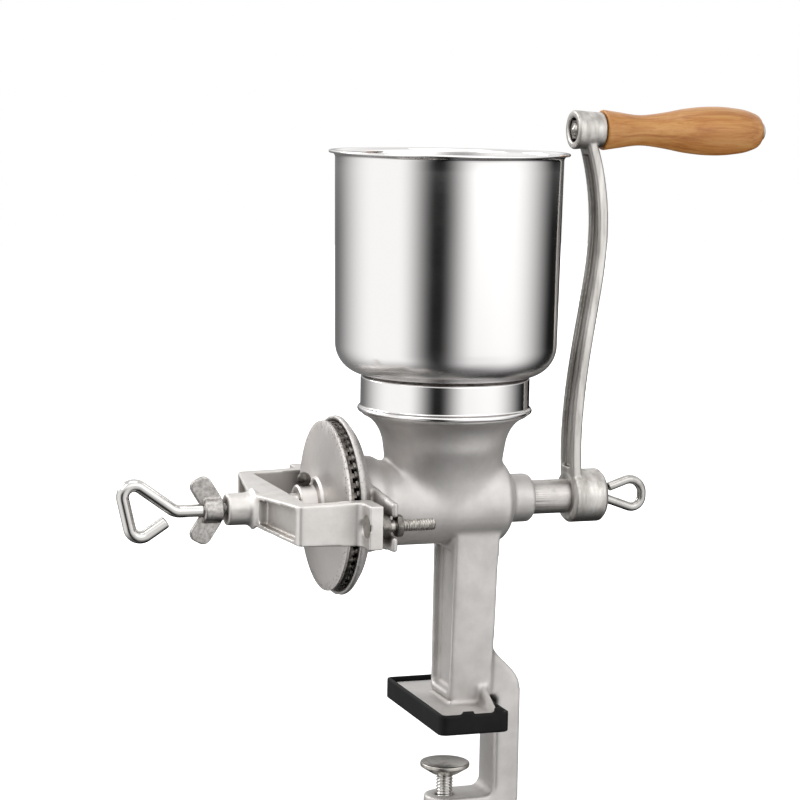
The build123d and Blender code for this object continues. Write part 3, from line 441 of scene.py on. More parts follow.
@dataclass(frozen=True)
class SpunStainless:
    """Stainless sheet spun on a lathe and buffed: a mirror that the finest rings and smears soften."""

    name: str = "stainless_steel_spun_and_buffed"
    colour: str = "#E3E1E0"
    roughness: float = 0.08
    smear: float = 0.05  # how much duller the handled places are
    ring_mm: float = 1.6  # the spinning tool's feed, drawn coarser than the real 0.4 mm
    ring_height_mm: float = 0.004
    smear_mm: float = 38.0
    corner_z: tuple[float, float] = (208.3, 230.0)  # the cup's lower corner, where the buffing wheel skips
    corner_dull: float = 0.26

    def material(self) -> Material:
        """Builds the material: rings by distance along the sheet, and soft smears in the gloss."""
        material, add = new_material(self.name)
        place = add("TexCoord").outputs["Object"]
        axes = add("SeparateXYZ", {0: place})
        flat = add("CombineXYZ", {0: axes, 1: axes.outputs[1]})
        radius = add("VectorMath", {0: flat}, operation="LENGTH")
        along = add("Math", {0: radius.outputs["Value"], 1: axes.outputs[2]}, operation="ADD")
        rings = add("TexNoise", {
            "W": along, "Scale": per_metre(self.ring_mm), "Detail": 2.0, "Roughness": 0.6},
            noise_dimensions="1D")
        bump = add("Bump", {"Height": rings, "Strength": 0.35, "Distance": self.ring_height_mm * MM})
        smear = add("TexNoise", {
            "Vector": place, "Scale": per_metre(self.smear_mm), "Detail": 5.0, "Roughness": 0.65})
        gloss = add("MapRange", {"Value": smear},
                    span=(0.38, 0.72, self.roughness, self.roughness + self.smear))
        low, high = (z * MM for z in self.corner_z)
        corner = add("MapRange", {"Value": axes.outputs[2]}, span=(low, high, self.corner_dull, 0.0))
        on_cup = add("Math", {0: axes.outputs[2], 1: low}, operation="GREATER_THAN")
        dull = add("Math", {0: corner, 1: on_cup, 2: gloss}, operation="MULTIPLY_ADD")
        skin = add("BsdfPrincipled", {
            "Base Color": linear(self.colour), "Metallic": 1.0, "Roughness": dull, "Normal": bump})
        add("OutputMaterial", {"Surface": skin})
        return material


@dataclass(frozen=True)
class TinnedIron:
    """Grey iron cast in sand and dipped in tin: a soft satin sheen over faint grain, with painted shade in
    creases and hollows.
    """

    name: str = "cast_iron_sand_cast_and_tinned"
    colour: str = "#CDCAC8"
    shade_colour: str = "#BFBCB9"  # thinner tin
    # darkest tone of the painted shade in creases and hollows
    painted_shade_colour: str = "#8A837D"
    roughness: float = 0.54
    roughness_spread: float = 0.05
    grain_mm: float = 2.4  # sand grain under the tin
    grain_height_mm: float = 0.10
    cloud_mm: float = 26.0  # where the tin ran thicker or thinner
    streak: tuple[float, float, float] = (1.0, 1.0, 1.0)  # stretch of the clouds along X, Y and Z
    painted_shade_reach_mm: float = 9.0  # reach of the ambient occlusion that paints shade into hollows
    pit_share: float = 0.0  # how far pits and specks darken the skin
    pit_colour: str = "#4A4642"
    pit_mm: float = 2.2
    pit_from_r: float = 0.0  # radius round the shaft from which the pits show, in mm
    pit_to_x: float = 1000.0  # place along the shaft up to which they show
    turned: float = 0.0  # how far the gloss fans out as on a face turned about the shaft

    def material(self) -> Material:
        """Builds the material: clouds in colour and gloss, fine grain, pits, and painted shade in creases and
        hollows.
        """
        material, add = new_material(self.name)
        place = add("TexCoord").outputs["Object"]
        stretched = add("Mapping", {"Vector": place, "Scale": self.streak})
        clouds = add("TexNoise", {
            "Vector": stretched, "Scale": per_metre(self.cloud_mm), "Detail": 6.0, "Roughness": 0.62})
        tone = add("ValToRGB", {0: clouds}, stops=[(0.36, self.shade_colour), (0.62, self.colour)])
        # Painted shade: low pointiness (creases) and ambient occlusion (hollows) mix the tone towards the
        # painted shade colour
        edges = add("NewGeometry")
        crease_shade = add("MapRange", {"Value": edges.outputs["Pointiness"]}, span=(0.42, 0.495, 1.0, 0.0))
        hidden = add("AmbientOcclusion", {"Distance": self.painted_shade_reach_mm * MM}, samples=4)
        hollow_shade = add("MapRange", {"Value": hidden.outputs["AO"]}, span=(0.25, 0.8, 0.85, 0.0))
        corner = add("Math", {0: crease_shade, 1: hollow_shade}, operation="MAXIMUM")
        tone_with_painted_shade = add("Mix", {0: corner, 6: tone, 7: linear(self.painted_shade_colour)}, data_type="RGBA")
        pits = add("TexNoise", {
            "Vector": place, "Scale": per_metre(self.pit_mm), "Detail": 2.0, "Roughness": 0.7})
        pitted = add("MapRange", {"Value": pits}, span=(0.34, 0.44, self.pit_share, 0.0))
        axes = add("SeparateXYZ", {0: place})
        height = add("Math", {0: axes.outputs[2], 1: AXIS_Z * MM}, operation="SUBTRACT")
        spoke = add("CombineXYZ", {1: axes.outputs[1], 2: height})
        radius = add("VectorMath", {0: spoke}, operation="LENGTH")
        out = add("MapRange", {"Value": radius.outputs["Value"]},
                  span=((self.pit_from_r - 1.5) * MM, (self.pit_from_r + 1.5) * MM))
        front = add("Math", {0: axes, 1: self.pit_to_x * MM}, operation="LESS_THAN")
        region = add("Math", {0: front, 1: out}, operation="MULTIPLY")
        shown = add("Math", {0: pitted, 1: region}, operation="MULTIPLY")
        specks = add("Mix", {0: shown, 6: tone_with_painted_shade.outputs[2], 7: linear(self.pit_colour)},
                     data_type="RGBA")
        gloss = add("MapRange", {"Value": clouds},
                    span=(0.35, 0.68, self.roughness + self.roughness_spread, self.roughness))
        grain = add("TexNoise", {
            "Vector": place, "Scale": per_metre(self.grain_mm), "Detail": 4.0, "Roughness": 0.55})
        bump = add("Bump", {"Height": grain, "Strength": 0.5, "Distance": self.grain_height_mm * MM})
        round_shaft = add("Tangent", direction_type="RADIAL", axis="X")
        skin = add("BsdfPrincipled", {
            "Base Color": specks.outputs[2], "Metallic": 1.0, "Roughness": gloss, "Anisotropic": self.turned,
            "Tangent": round_shaft, "Normal": bump})
        add("OutputMaterial", {"Surface": skin})
        return material


@dataclass(frozen=True)
class PlatedSteel:
    """Drawn or turned steel, nickel plated: bright and even, with the faintest marks in its gloss."""

    name: str = "steel_drawn_and_nickel_plated"
    colour: str = "#CAC8C5"
    dull_colour: str = "#BBB8B5"
    roughness: float = 0.13
    roughness_spread: float = 0.08
    mark_mm: float = 9.0
    mark_height_mm: float = 0.012

    def material(self) -> Material:
        """Builds the material: handling marks in the gloss, dull spots and a fine uneven surface."""
        material, add = new_material(self.name)
        place = add("TexCoord").outputs["Object"]
        marks = add("TexNoise", {
            "Vector": place, "Scale": per_metre(self.mark_mm), "Detail": 5.0, "Roughness": 0.6})
        tone = add("ValToRGB", {0: marks}, stops=[(0.33, self.dull_colour), (0.5, self.colour)])
        gloss = add("MapRange", {"Value": marks},
                    span=(0.3, 0.6, self.roughness + self.roughness_spread, self.roughness))
        bump = add("Bump", {"Height": marks, "Strength": 0.4, "Distance": self.mark_height_mm * MM})
        skin = add("BsdfPrincipled", {
            "Base Color": tone, "Metallic": 1.0, "Roughness": gloss, "Normal": bump})
        add("OutputMaterial", {"Surface": skin})
        return material


@dataclass(frozen=True)
class LacqueredBeech:
    """Beech turned along its grain and lacquered: warm tan, long fibres, short pores, a clear gloss."""

    name: str = "beech_turned_and_lacquered"
    light_colour: str = "#D69D58"
    mid_colour: str = "#C68540"
    dark_colour: str = "#AE6C2D"
    blush_colour: str = "#8A4218"  # redder and darker towards the belly's underside, in soft patches
    blush_mm: float = 30.0
    pore_colour: str = "#7A431A"
    fibre_mm: float = 1.1  # width of a fibre band, drawn coarser than the real 0.3 mm
    fibre_length_mm: float = 46.0
    ring_mm: float = 5.0
    ring_share: float = 0.55  # how much the growth rings make of the tone, the fibres make the rest
    pore_mm: float = 0.8
    roughness: float = 0.36

    def material(self) -> Material:
        """Builds the material: growth rings and fibres stretched along X, pores, and a clear coat."""
        material, add = new_material(self.name)
        place = add("TexCoord").outputs["Object"]
        along = self.fibre_mm / self.fibre_length_mm
        fibres_at = add("Mapping", {
            "Vector": place, "Scale": (along, 1.0, 1.0), "Rotation": (0.0, 0.03, 0.05)})
        fibres = add("TexNoise", {
            "Vector": fibres_at, "Scale": per_metre(self.fibre_mm), "Detail": 4.0, "Roughness": 0.6})
        rings_at = add("Mapping", {
            "Vector": place, "Scale": (0.09, 1.0, 1.0), "Rotation": (0.3, 0.04, 0.02)})
        rings = add("TexNoise", {
            "Vector": rings_at, "Scale": per_metre(self.ring_mm), "Detail": 2.0, "Distortion": 0.7})
        mixed = add("Math", {0: rings, 1: self.ring_share}, operation="MULTIPLY")
        both = add("Math", {0: fibres, 1: 1 - self.ring_share, 2: mixed}, operation="MULTIPLY_ADD")
        tone = add("ValToRGB", {0: both},
                   stops=[(0.36, self.dark_colour), (0.48, self.mid_colour), (0.62, self.light_colour)])
        patch = add("TexNoise", {"Vector": rings_at, "Scale": per_metre(self.blush_mm), "Detail": 1.0})
        height = add("SeparateXYZ", {0: place})
        low = add("MapRange", {"Value": height.outputs[2]},
                  span=((GRIP_Z - 15) * MM, (GRIP_Z + 4) * MM, 0.5, 0.0))
        blush_share = add("Math", {0: low, 1: patch}, operation="MULTIPLY")
        wood = add("Mix", {0: blush_share, 6: tone, 7: linear(self.blush_colour)}, data_type="RGBA")
        pores_at = add("Mapping", {"Vector": place, "Scale": (0.16, 1.0, 1.0)})
        pores = add("TexVoronoi", {"Vector": pores_at, "Scale": per_metre(self.pore_mm)})
        pore_share = add("MapRange", {"Value": pores.outputs["Distance"]}, span=(0.05, 0.22, 0.45, 0.0))
        pored = add("Mix", {0: pore_share, 6: wood.outputs[2], 7: linear(self.pore_colour)},
                    data_type="RGBA")
        bump = add("Bump", {"Height": fibres, "Strength": 0.35, "Distance": 0.05 * MM})
        skin = add("BsdfPrincipled", {
            "Base Color": pored.outputs[2], "Roughness": self.roughness, "Normal": bump, "IOR": 1.45,
            "Coat Weight": 0.22, "Coat Roughness": 0.2})
        add("OutputMaterial", {"Surface": skin})
        return material


@dataclass(frozen=True)
class MouldedRubber:
    """Black rubber, moulded: near black, with a low waxy sheen and a fine skin."""

    name: str = "rubber_moulded_black"
    colour: str = "#060606"
    dusty_colour: str = "#101010"
    dust_mm: float = 14.0
    skin_mm: float = 0.9

    def material(self) -> Material:
        """Builds the material: dust in soft patches and a fine moulded skin."""
        material, add = new_material(self.name)
        place = add("TexCoord").outputs["Object"]
        dust = add("TexNoise", {"Vector": place, "Scale": per_metre(self.dust_mm), "Detail": 6.0})
        tone = add("ValToRGB", {0: dust}, stops=[(0.42, self.colour), (0.7, self.dusty_colour)])
        fine = add("TexNoise", {"Vector": place, "Scale": per_metre(self.skin_mm), "Detail": 3.0})
        bump = add("Bump", {"Height": fine, "Strength": 0.4, "Distance": 0.06 * MM})
        skin = add("BsdfPrincipled", {
            "Base Color": tone, "Roughness": 0.6, "Specular IOR Level": 0.2, "Normal": bump})
        add("OutputMaterial", {"Surface": skin})
        return material


class Finish(Enum):
    """The finishes of this grinder, each by its maker's description."""

    HOPPER = SpunStainless()
    CASTING = TinnedIron(pit_share=0.35, pit_mm=1.7, pit_from_r=46.5, pit_to_x=-46.0)
    # A long reach, so that painted shade darkens the yoke's inner faces near the disc
    YOKE = TinnedIron(name="cast_iron_yoke_tinned", colour="#DAD7D4", shade_colour="#CCC8C4", cloud_mm=18.0,
                      grain_mm=2.0, roughness=0.46, painted_shade_reach_mm=26.0)
    WING = TinnedIron(name="cast_iron_wing_nut_tinned", colour="#BDBAB7", shade_colour="#938F8B",
                      cloud_mm=2.2, grain_mm=1.0, roughness=0.34)
    CARRIER = TinnedIron(name="cast_iron_disc_turned_and_tinned", colour="#D2CECB", shade_colour="#C6C1BD",
                         roughness=0.42, cloud_mm=40.0, grain_mm=1.6, grain_height_mm=0.04, pit_share=0.75,
                         pit_mm=1.5, pit_from_r=46.0, turned=0.4)
    BURR = TinnedIron(name="cast_iron_grinding_plate", colour="#77716C", shade_colour="#3E3A36",
                      painted_shade_colour="#1E1B19", roughness=0.3, cloud_mm=5.0, grain_mm=1.2)
    RIM = TinnedIron(name="cast_iron_plate_with_ground_rim", colour="#9C9894", shade_colour="#6A6661",
                     painted_shade_colour="#2A2724", roughness=0.4, cloud_mm=4.0, grain_mm=1.2, pit_share=0.6,
                     pit_mm=1.5)
    CRANK = TinnedIron(name="cast_iron_crank_tinned_and_worn", colour="#CDCAC6", shade_colour="#A39F9A",
                       painted_shade_colour="#46423E", roughness=0.38, roughness_spread=0.10, cloud_mm=6.0,
                       grain_mm=1.8, grain_height_mm=0.1, streak=(1.0, 1.0, 0.13))
    PLATED = PlatedSteel()
    EYE = PlatedSteel(name="steel_wire_bent_and_plated", colour="#B4B2AF", dull_colour="#98958F",
                      roughness=0.22)
    FASTENER = PlatedSteel(name="steel_zinc_plated_bolt", colour="#B2AEA8", dull_colour="#8C8781",
                           roughness=0.28, mark_mm=4.0)
    # Darker than plated steel is: painted shade for the nuts in the shaded gap between the yoke's ears and
    # lugs; the spindle nut shares it
    NUT = PlatedSteel(name="steel_nut_darkened_for_painted_shade", colour="#7E7A75", dull_colour="#524E4A", roughness=0.34,
                      mark_mm=4.0)
    PIN = PlatedSteel(name="steel_pin_blackened", colour="#5E5A56", dull_colour="#3C3936", roughness=0.3)
    SHAFT = PlatedSteel(name="steel_turned_oiled", colour="#C3BFBC", dull_colour="#B2AEAA", roughness=0.42)
    WOOD = LacqueredBeech()
    RUBBER = MouldedRubber()

    def build(self) -> Material:
        """Returns the finish's material, which is made once."""
        found = bpy.data.materials.get(self.value.name)
        return found or self.value.material()


# ---- sub-assemblies -------------------------------------------------------------------------
def fit_out(obj: Object, finish: Finish, node: str, replaces: bool = True) -> None:
    """Gives a piece its finish and body, and lets it stand for its CAD node.

    Args:
        obj: The piece.
        finish: Its finish.
        node: The CAD node that it stands for or belongs to.
        replaces: False where the node stays visible or another piece already replaces it.
    """
    obj.data.materials.clear()
    obj.data.materials.append(finish.build())
    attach(obj, NODE_BODY[node])
    if replaces:
        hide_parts(node)
    log.info("%s: %d faces, on %s", obj.name, len(obj.data.polygons), NODE_BODY[node])


@dataclass
class Hopper:
    """The spun cup with its flared lip, and the collar that seats it on the neck."""

    base_z: float = 208.0
    top_z: float = 340.3
    low_r: float = 66.1
    top_r: float = 67.7
    corner_r: float = 18.5
    sheet: float = 1.0
    outlet_r: float = 44.0
    rim_r: float = 71.5
    flare_r: float = 2.5  # the wall's bend into the lip, outside
    flare_drop: float = 4.2
    inner_flare_r: float = 2.6
    inner_flare_drop: float = 5.0
    rim_thick: float = 1.7
    collar_foot_z: float = 185.6
    collar_r: float = 50.5
    bead: float = 1.7

    def cup_outline(self) -> Array:
        """The wall's closed (radius, height) outline: outside going up, over the lip and down inside."""
        sheet = self.sheet
        corner_z = self.base_z + self.corner_r
        corner_x = self.low_r - self.corner_r
        roll = self.rim_thick / 2
        lip_z = self.top_z - roll
        flare_z = self.top_z - self.flare_drop
        outside = [line((self.outlet_r, self.base_z), (corner_x, self.base_z), 4),
                   arc((corner_x, corner_z), self.corner_r, -90, 0, 24)[1:],
                   line((self.low_r, corner_z), (self.top_r, flare_z), 20)[1:],
                   arc((self.top_r + self.flare_r, flare_z), self.flare_r, 180, 90, 8)[1:],
                   arc((self.rim_r - roll, lip_z), roll, -90, 90, 12)]
        bend = self.inner_flare_r
        inside = [arc((self.top_r - sheet + bend, self.top_z - bend), bend, 90, 180, 8),
                  line((self.top_r - sheet, self.top_z - self.inner_flare_drop),
                       (self.low_r - sheet, corner_z), 20)[1:],
                  arc((corner_x, corner_z), self.corner_r - sheet, 0, -90, 24)[1:],
                  line((corner_x, self.base_z + sheet), (self.outlet_r, self.base_z + sheet), 4)[1:]]
        return np.concatenate(outside + inside)

    def collar_outline(self) -> Array:
        """The collar's closed outline: a sleeve with a rolled bead at its foot and its top folded in."""
        foot, bead, top = self.collar_foot_z, self.bead, self.base_z
        outer = self.collar_r
        inner, lip, groove = outer - self.sheet, outer - 4.0, outer - 1.9
        return np.concatenate([
            line((lip, top), (lip, top - 1.9), 2),
            arc((inner - 1.2, top - 3.1), 1.2, 90, 0, 5),
            line((inner, top - 4.0), (inner, foot), 8),
            arc((outer, foot + bead), bead, -75, 78, 16),
            arc((outer + 1.2, foot + 2 * bead + 1.1), 1.2, 250, 180, 5),
            line((outer, foot + 2 * bead + 1.4), (outer, top - 2.7), 10),
            arc((outer - 1.4, top - 2.4), 1.4, 0, 90, 7),
            line((groove, top - 1.0), (groove, top), 2)])

    def build(self) -> None:
        """Builds and dresses the cup and the collar, and lays a dark ring of painted shadow in the groove
        between them.
        """
        steel = Finish.HOPPER
        fit_out(turned("hopper_spun_cup", self.cup_outline(), "z", count=224), steel, "hopper_cup")
        fit_out(turned("hopper_spun_collar", self.collar_outline(), "z", count=192), steel, "hopper_collar")
        # A thin dark ring in the groove where the collar meets the cup: painted shadow, in the pin's
        # blackened finish
        shadow_ring = arc((self.collar_r - 1.45, self.base_z - 0.5), 0.5, 0, 330, 12)
        fit_out(turned("hopper_painted_shadow_ring", shadow_ring, "z", count=160), Finish.PIN, "hopper_collar", False)


@dataclass
class Casting:
    """The iron casting with its neck, barrel, leg and clamp, and the rubber tray under its foot."""

    grain: float = 1.45
    rounds: int = 4
    pad_grain: float = 0.8
    joint_z: float = 150.0  # where the neck meets the barrel
    joint_reach: float = 24.0
    joint_half_x: float = 34.0  # no extra smoothing further out along the shaft
    joint_rounds: int = 110

    def soften_joint(self, casting: Object) -> None:
        """Runs the neck into the barrel as the pattern's fillet does: extra smoothing round their joint.

        The weight falls from 1 at the joint's height to 0 at its reach, as half a cosine wave.
        """
        mesh = casting.data
        places = np.empty(len(mesh.vertices) * 3)
        mesh.vertices.foreach_get("co", places)
        places = places.reshape(-1, 3) / MM
        away = np.clip(np.abs(places[:, 2] - self.joint_z) / self.joint_reach, 0.0, 1.0)
        near = np.clip((self.joint_half_x - np.abs(places[:, 0])) / 8.0, 0.0, 1.0)
        weight = (0.5 + 0.5 * np.cos(np.pi * away)) * near
        group = casting.vertex_groups.new(name="joint")
        for index in np.flatnonzero(weight > 0.01):
            group.add([int(index)], float(weight[index]), "REPLACE")
        soften = casting.modifiers.new("joint", "SMOOTH")
        soften.factor = 0.5
        soften.iterations = self.joint_rounds
        soften.vertex_group = group.name
        bake_modifiers(casting)

    def build(self) -> None:
        """Builds and dresses the casting and the tray."""
        casting = cast_copy("mill_body", "mill_casting", self.grain, self.rounds)
        self.soften_joint(casting)
        fit_out(casting, Finish.CASTING, "mill_body")
        fit_out(cast_copy("foot_pad", "rubber_tray", self.pad_grain), Finish.RUBBER, "foot_pad")


@dataclass
class GrindingPlates:
    """The grinding plates, the domed carrier with its cross pin, the thrust ball and the auger's shaft."""

    carrier_bevel: float = 0.35
    carrier_sharp_deg: float = 32.0

    def build(self) -> None:
        """Dresses the plates, the carrier, the pin, the ball and the auger."""
        fit_out(machined_copy("fixed_burr", "fixed_plate"), Finish.RIM, "fixed_burr")
        fit_out(machined_copy("rotating_burr", "turning_plate"), Finish.BURR, "rotating_burr")
        carrier = machined_copy("burr_carrier", "plate_carrier", self.carrier_bevel, self.carrier_sharp_deg)
        fit_out(carrier, Finish.CARRIER, "burr_carrier")
        fit_out(machined_copy("hub_pin", "cross_pin"), Finish.PIN, "hub_pin")
        fit_out(machined_copy("steel_ball", "thrust_ball_bearing"), Finish.PLATED, "steel_ball")
        fit_out(machined_copy("auger", "feed_auger"), Finish.SHAFT, "auger")


@dataclass
class BentScrew:
    """A screw bent from one rod: a threaded shank and an eye."""

    node: str
    name: str
    wire_r: float
    corners: tuple[tuple[float, float], ...]  # from the tip to the rod's end, in the plane
    bends: tuple[float, ...]
    thread_end: float  # how far the thread runs from the tip
    pitch: float = 1.5
    depth: float = 0.55
    runout: float = 3.0  # over which the thread fades into the shank
    end_round: float = 0.55  # share of the section that is rounded off at either end
    step: float = 0.2
    count: int = 28

    def radii(self, along: Array) -> Array:
        """The rod's radius at each place: a thread over part of the shank, and rounded ends."""
        angle = round_angles(self.count)[None, :]
        place = along[:, None]
        inside = np.clip(place, 0, 1) * np.clip((self.thread_end - place) / self.runout, 0, 1)
        cut = inside * (1 - thread_wave(place, angle, self.pitch))
        to_end = np.minimum(place, along[-1] - place)
        nose = np.sqrt(1 - self.end_round * np.clip(1 - to_end, 0, 1) ** 2)
        return (self.wire_r - self.depth * cut) * nose

    def build(self, to_space: Matrix, finish: Finish) -> None:
        """Builds and dresses the screw.

        Args:
            to_space: Puts the plane of the drawing in its place, in millimetres.
            finish: The finish.
        """
        flat = bent_rod(np.array(self.corners, float), self.bends, self.step)
        matrix = np.array(to_space)
        path = flat @ matrix[:3, :2].T + matrix[:3, 3]
        rod = swept(self.name, path, matrix[:3, 2], self.radii(run_lengths(path)))
        fit_out(rod, finish, self.node)


def eye_corners(tip: float, eye: Sequence[Sequence[float]]) -> tuple[tuple[float, float], ...]:
    """Corner points of a bent screw: its tip, then the eye's corners behind the neck at the origin."""
    return ((tip, 0.0), *((-out, side) for out, side in eye))


@dataclass
class Screws:
    """The three screws that are bent from rod: adjuster, crank screw and clamp screw."""

    teardrop: tuple[tuple[float, float], ...] = ((0.0, 0.0), (9.3, 6.7), (6.6, -4.9), (1.4, -1.5))
    teardrop_bends: tuple[float, ...] = (2.6, 1.75, 1.75)
    round_eye: tuple[tuple[float, float], ...] = ((0.0, 0.0), (31.0, -11.3), (31.3, 12.0), (8.4, 4.3))
    round_bends: tuple[float, ...] = (6.0, 6.5, 8.5)
    adjuster_r: float = 3.75
    adjuster_neck_x: float = -165.0
    adjuster_tip_x: float = -98.52
    adjuster_thread: float = 50.0  # from the tip to just behind the wing nut
    crank_wire_r: float = 2.75
    crank_neck_x: float = 99.5
    crank_depth: float = 26.0
    crank_plain: float = 2.0  # length of the shank without a thread
    clamp_r: float = 5.0
    clamp_x: float = 5.0
    clamp_neck_z: float = -101.0
    clamp_tip_z: float = -32.52
    clamp_plain: float = 8.0  # length of the shank without a thread
    disc_bevel: float = 0.4

    def teardrop_screw(self, node: str, name: str, wire_r: float, tip: float, thread_end: float,
                       to_space: Matrix, **cut: float) -> None:
        """Builds a screw with the teardrop eye, whose sizes are multiples of its rod's radius.

        Args:
            node: The CAD node that it stands for.
            name: The piece's name.
            wire_r: The rod's radius.
            tip: Distance from the eye's neck to the tip.
            thread_end: Distance from the tip to the thread's end.
            to_space: Puts the drawing's plane in its place.
            cut: The thread's pitch and depth, where they aren't the usual ones.
        """
        eye = [(out * wire_r, side * wire_r) for out, side in self.teardrop]
        bends = tuple(bend * wire_r for bend in self.teardrop_bends)
        screw = BentScrew(node, name, wire_r, eye_corners(tip, eye), bends, thread_end, **cut)
        screw.build(to_space, Finish.PLATED)

    def build(self) -> None:
        """Builds the three screws in their places, and the disc that the clamp screw carries."""
        upright = Matrix.Rotation(math.pi / 2, 4, "X")
        about = Matrix.Rotation(math.pi, 4, "Z")
        tilt = Matrix.Rotation(-math.pi / 2, 4, "Y")
        self.teardrop_screw("adjusting_screw", "adjuster_eye_screw", self.adjuster_r,
                            self.adjuster_tip_x - self.adjuster_neck_x, self.adjuster_thread,
                            Matrix.Translation((self.adjuster_neck_x, 0, AXIS_Z)) @ upright)
        crank = BentScrew("crank_screw", "crank_eye_screw", self.crank_wire_r,
                          eye_corners(self.crank_depth, self.round_eye), self.round_bends,
                          self.crank_depth - self.crank_plain, depth=0.4)
        crank.build(Matrix.Translation((self.crank_neck_x, 0, AXIS_Z)) @ about @ upright, Finish.EYE)
        tip = self.clamp_tip_z - self.clamp_neck_z
        self.teardrop_screw("clamp_screw", "clamp_eye_screw", self.clamp_r, tip, tip - self.clamp_plain,
                            Matrix.Translation((self.clamp_x, 0, self.clamp_neck_z)) @ tilt @ upright,
                            pitch=2.0, depth=0.8)
        disc = machined_copy("pressure_disc", "clamp_disc", self.disc_bevel)
        fit_out(disc, Finish.FASTENER, "pressure_disc")


@dataclass
class Yoke:
    """The cast yoke with its two threaded bolts and nuts."""

    bolt_y: float = 73.2
    bolt_r: float = 3.5
    head_r: float = 6.6
    head: float = 3.4  # depth of the countersunk head
    face_x: float = -72.2
    end_x: float = -31.5
    thread_x: float = -56.0
    pitch: float = 1.5
    depth: float = 0.4
    grain: float = 0.85
    wing_grain: float = 0.5
    nut_bevel: float = 0.3
    count: int = 36

    def bolt_radii(self, x: Array) -> Array:
        """Radius of a bolt by its place along X: a countersunk head, a plain shank and a ragged thread.

        The thread's depth swings by a quarter with the sine of three times the angle, as worn threads
        do; it starts over 1.5 mm, and the last 0.9 mm of the tip tapers by 0.8 mm.
        """
        angle = round_angles(self.count)[None, :]
        place = x[:, None]
        cone = self.head_r - (place - self.face_x) * (self.head_r - self.bolt_r) / self.head
        ragged = 1 + 0.25 * np.sin(3 * angle + 1.7 * place)
        cut = (1 - thread_wave(place, angle, self.pitch)) * self.depth * ragged
        cut = cut * np.clip((place - self.thread_x) / 1.5, 0, 1)
        tip = np.clip((self.end_x - place) / 0.9, 0, 1) * 0.8 - 0.8
        return np.maximum(cone, self.bolt_r - cut + tip)

    def build(self) -> None:
        """Builds and dresses the yoke, the bolts and the nuts."""
        fit_out(cast_copy("yoke", "yoke_casting", self.grain), Finish.YOKE, "yoke")
        x = line((self.face_x,), (self.end_x,), 280)[:, 0]
        radii = self.bolt_radii(x)
        for name, y in (("yoke_bolt_near", -self.bolt_y), ("yoke_bolt_far", self.bolt_y)):
            path = np.stack([x, np.full_like(x, y), np.full_like(x, AXIS_Z)], axis=1)
            bolt = swept(name, path, np.array([0.0, 0.0, 1.0]), radii, sharp_deg=50)
            fit_out(bolt, Finish.FASTENER, "yoke_bolts", replaces=y < 0)
        fit_out(machined_copy("yoke_nuts", "yoke_hex_nuts", self.nut_bevel), Finish.NUT, "yoke_nuts")
        fit_out(cast_copy("wing_nut", "wing_lock_nut", self.wing_grain), Finish.WING, "wing_nut")


@dataclass
class Crank:
    """The cast crank with its spindle and nut."""

    grain: float = 0.62
    nut_bevel: float = 0.3

    def build(self) -> None:
        """Builds and dresses the crank, the spindle and its nut."""
        fit_out(cast_copy("crank_arm", "crank_casting", self.grain), Finish.CRANK, "crank_arm")
        fit_out(machined_copy("spindle_nut", "spindle_hex_nut", self.nut_bevel), Finish.NUT, "spindle_nut")
        fit_out(machined_copy("grip_spindle", "grip_steel_spindle"), Finish.FASTENER, "grip_spindle")


@dataclass
class Grip:
    """The turned wooden grip: a collar end, a waist, a belly and a rounded tip, bored for its spindle."""

    start_x: float = 97.3
    end_x: float = 202.4
    bore_r: float = 4.05
    recess_r: float = 5.9
    recess_x: float = 98.5
    start_r: float = 12.1
    tip_r: float = 7.2
    # (radius, x) of the turned back: down to the waist, over the belly and round the nose
    back: tuple[tuple[float, float], ...] = (
        (10.9, 107.0), (9.2, 121.8), (10.9, 138.0), (13.4, 152.0), (14.8, 167.0), (14.3, 183.0),
        (12.0, 195.4), (9.6, 200.6))

    def outline(self) -> Array:
        """The grip's closed outline as (radius, x)."""
        back = smooth_curve([(self.start_r, self.start_x + 1.2), *self.back, (self.tip_r, self.end_x)], 90)
        edge = arc((self.start_r - 0.9, self.start_x + 0.9), 0.9, -90, 0, 6)
        return np.concatenate([
            line((self.recess_r, self.start_x), (self.start_r - 1.2, self.start_x), 3), edge, back,
            line((self.tip_r - 0.3, self.end_x), (self.bore_r, self.end_x), 4),
            line((self.bore_r, self.end_x - 1), (self.bore_r, self.recess_x), 6),
            line((self.recess_r, self.recess_x), (self.recess_r, self.start_x + 0.2), 2)])

    def build(self) -> None:
        """Builds and dresses the grip."""
        grip = turned("grip_turned_beech", self.outline(), "x", centre_z=GRIP_Z, count=96, sharp_deg=50)
        fit_out(grip, Finish.WOOD, "wooden_grip")


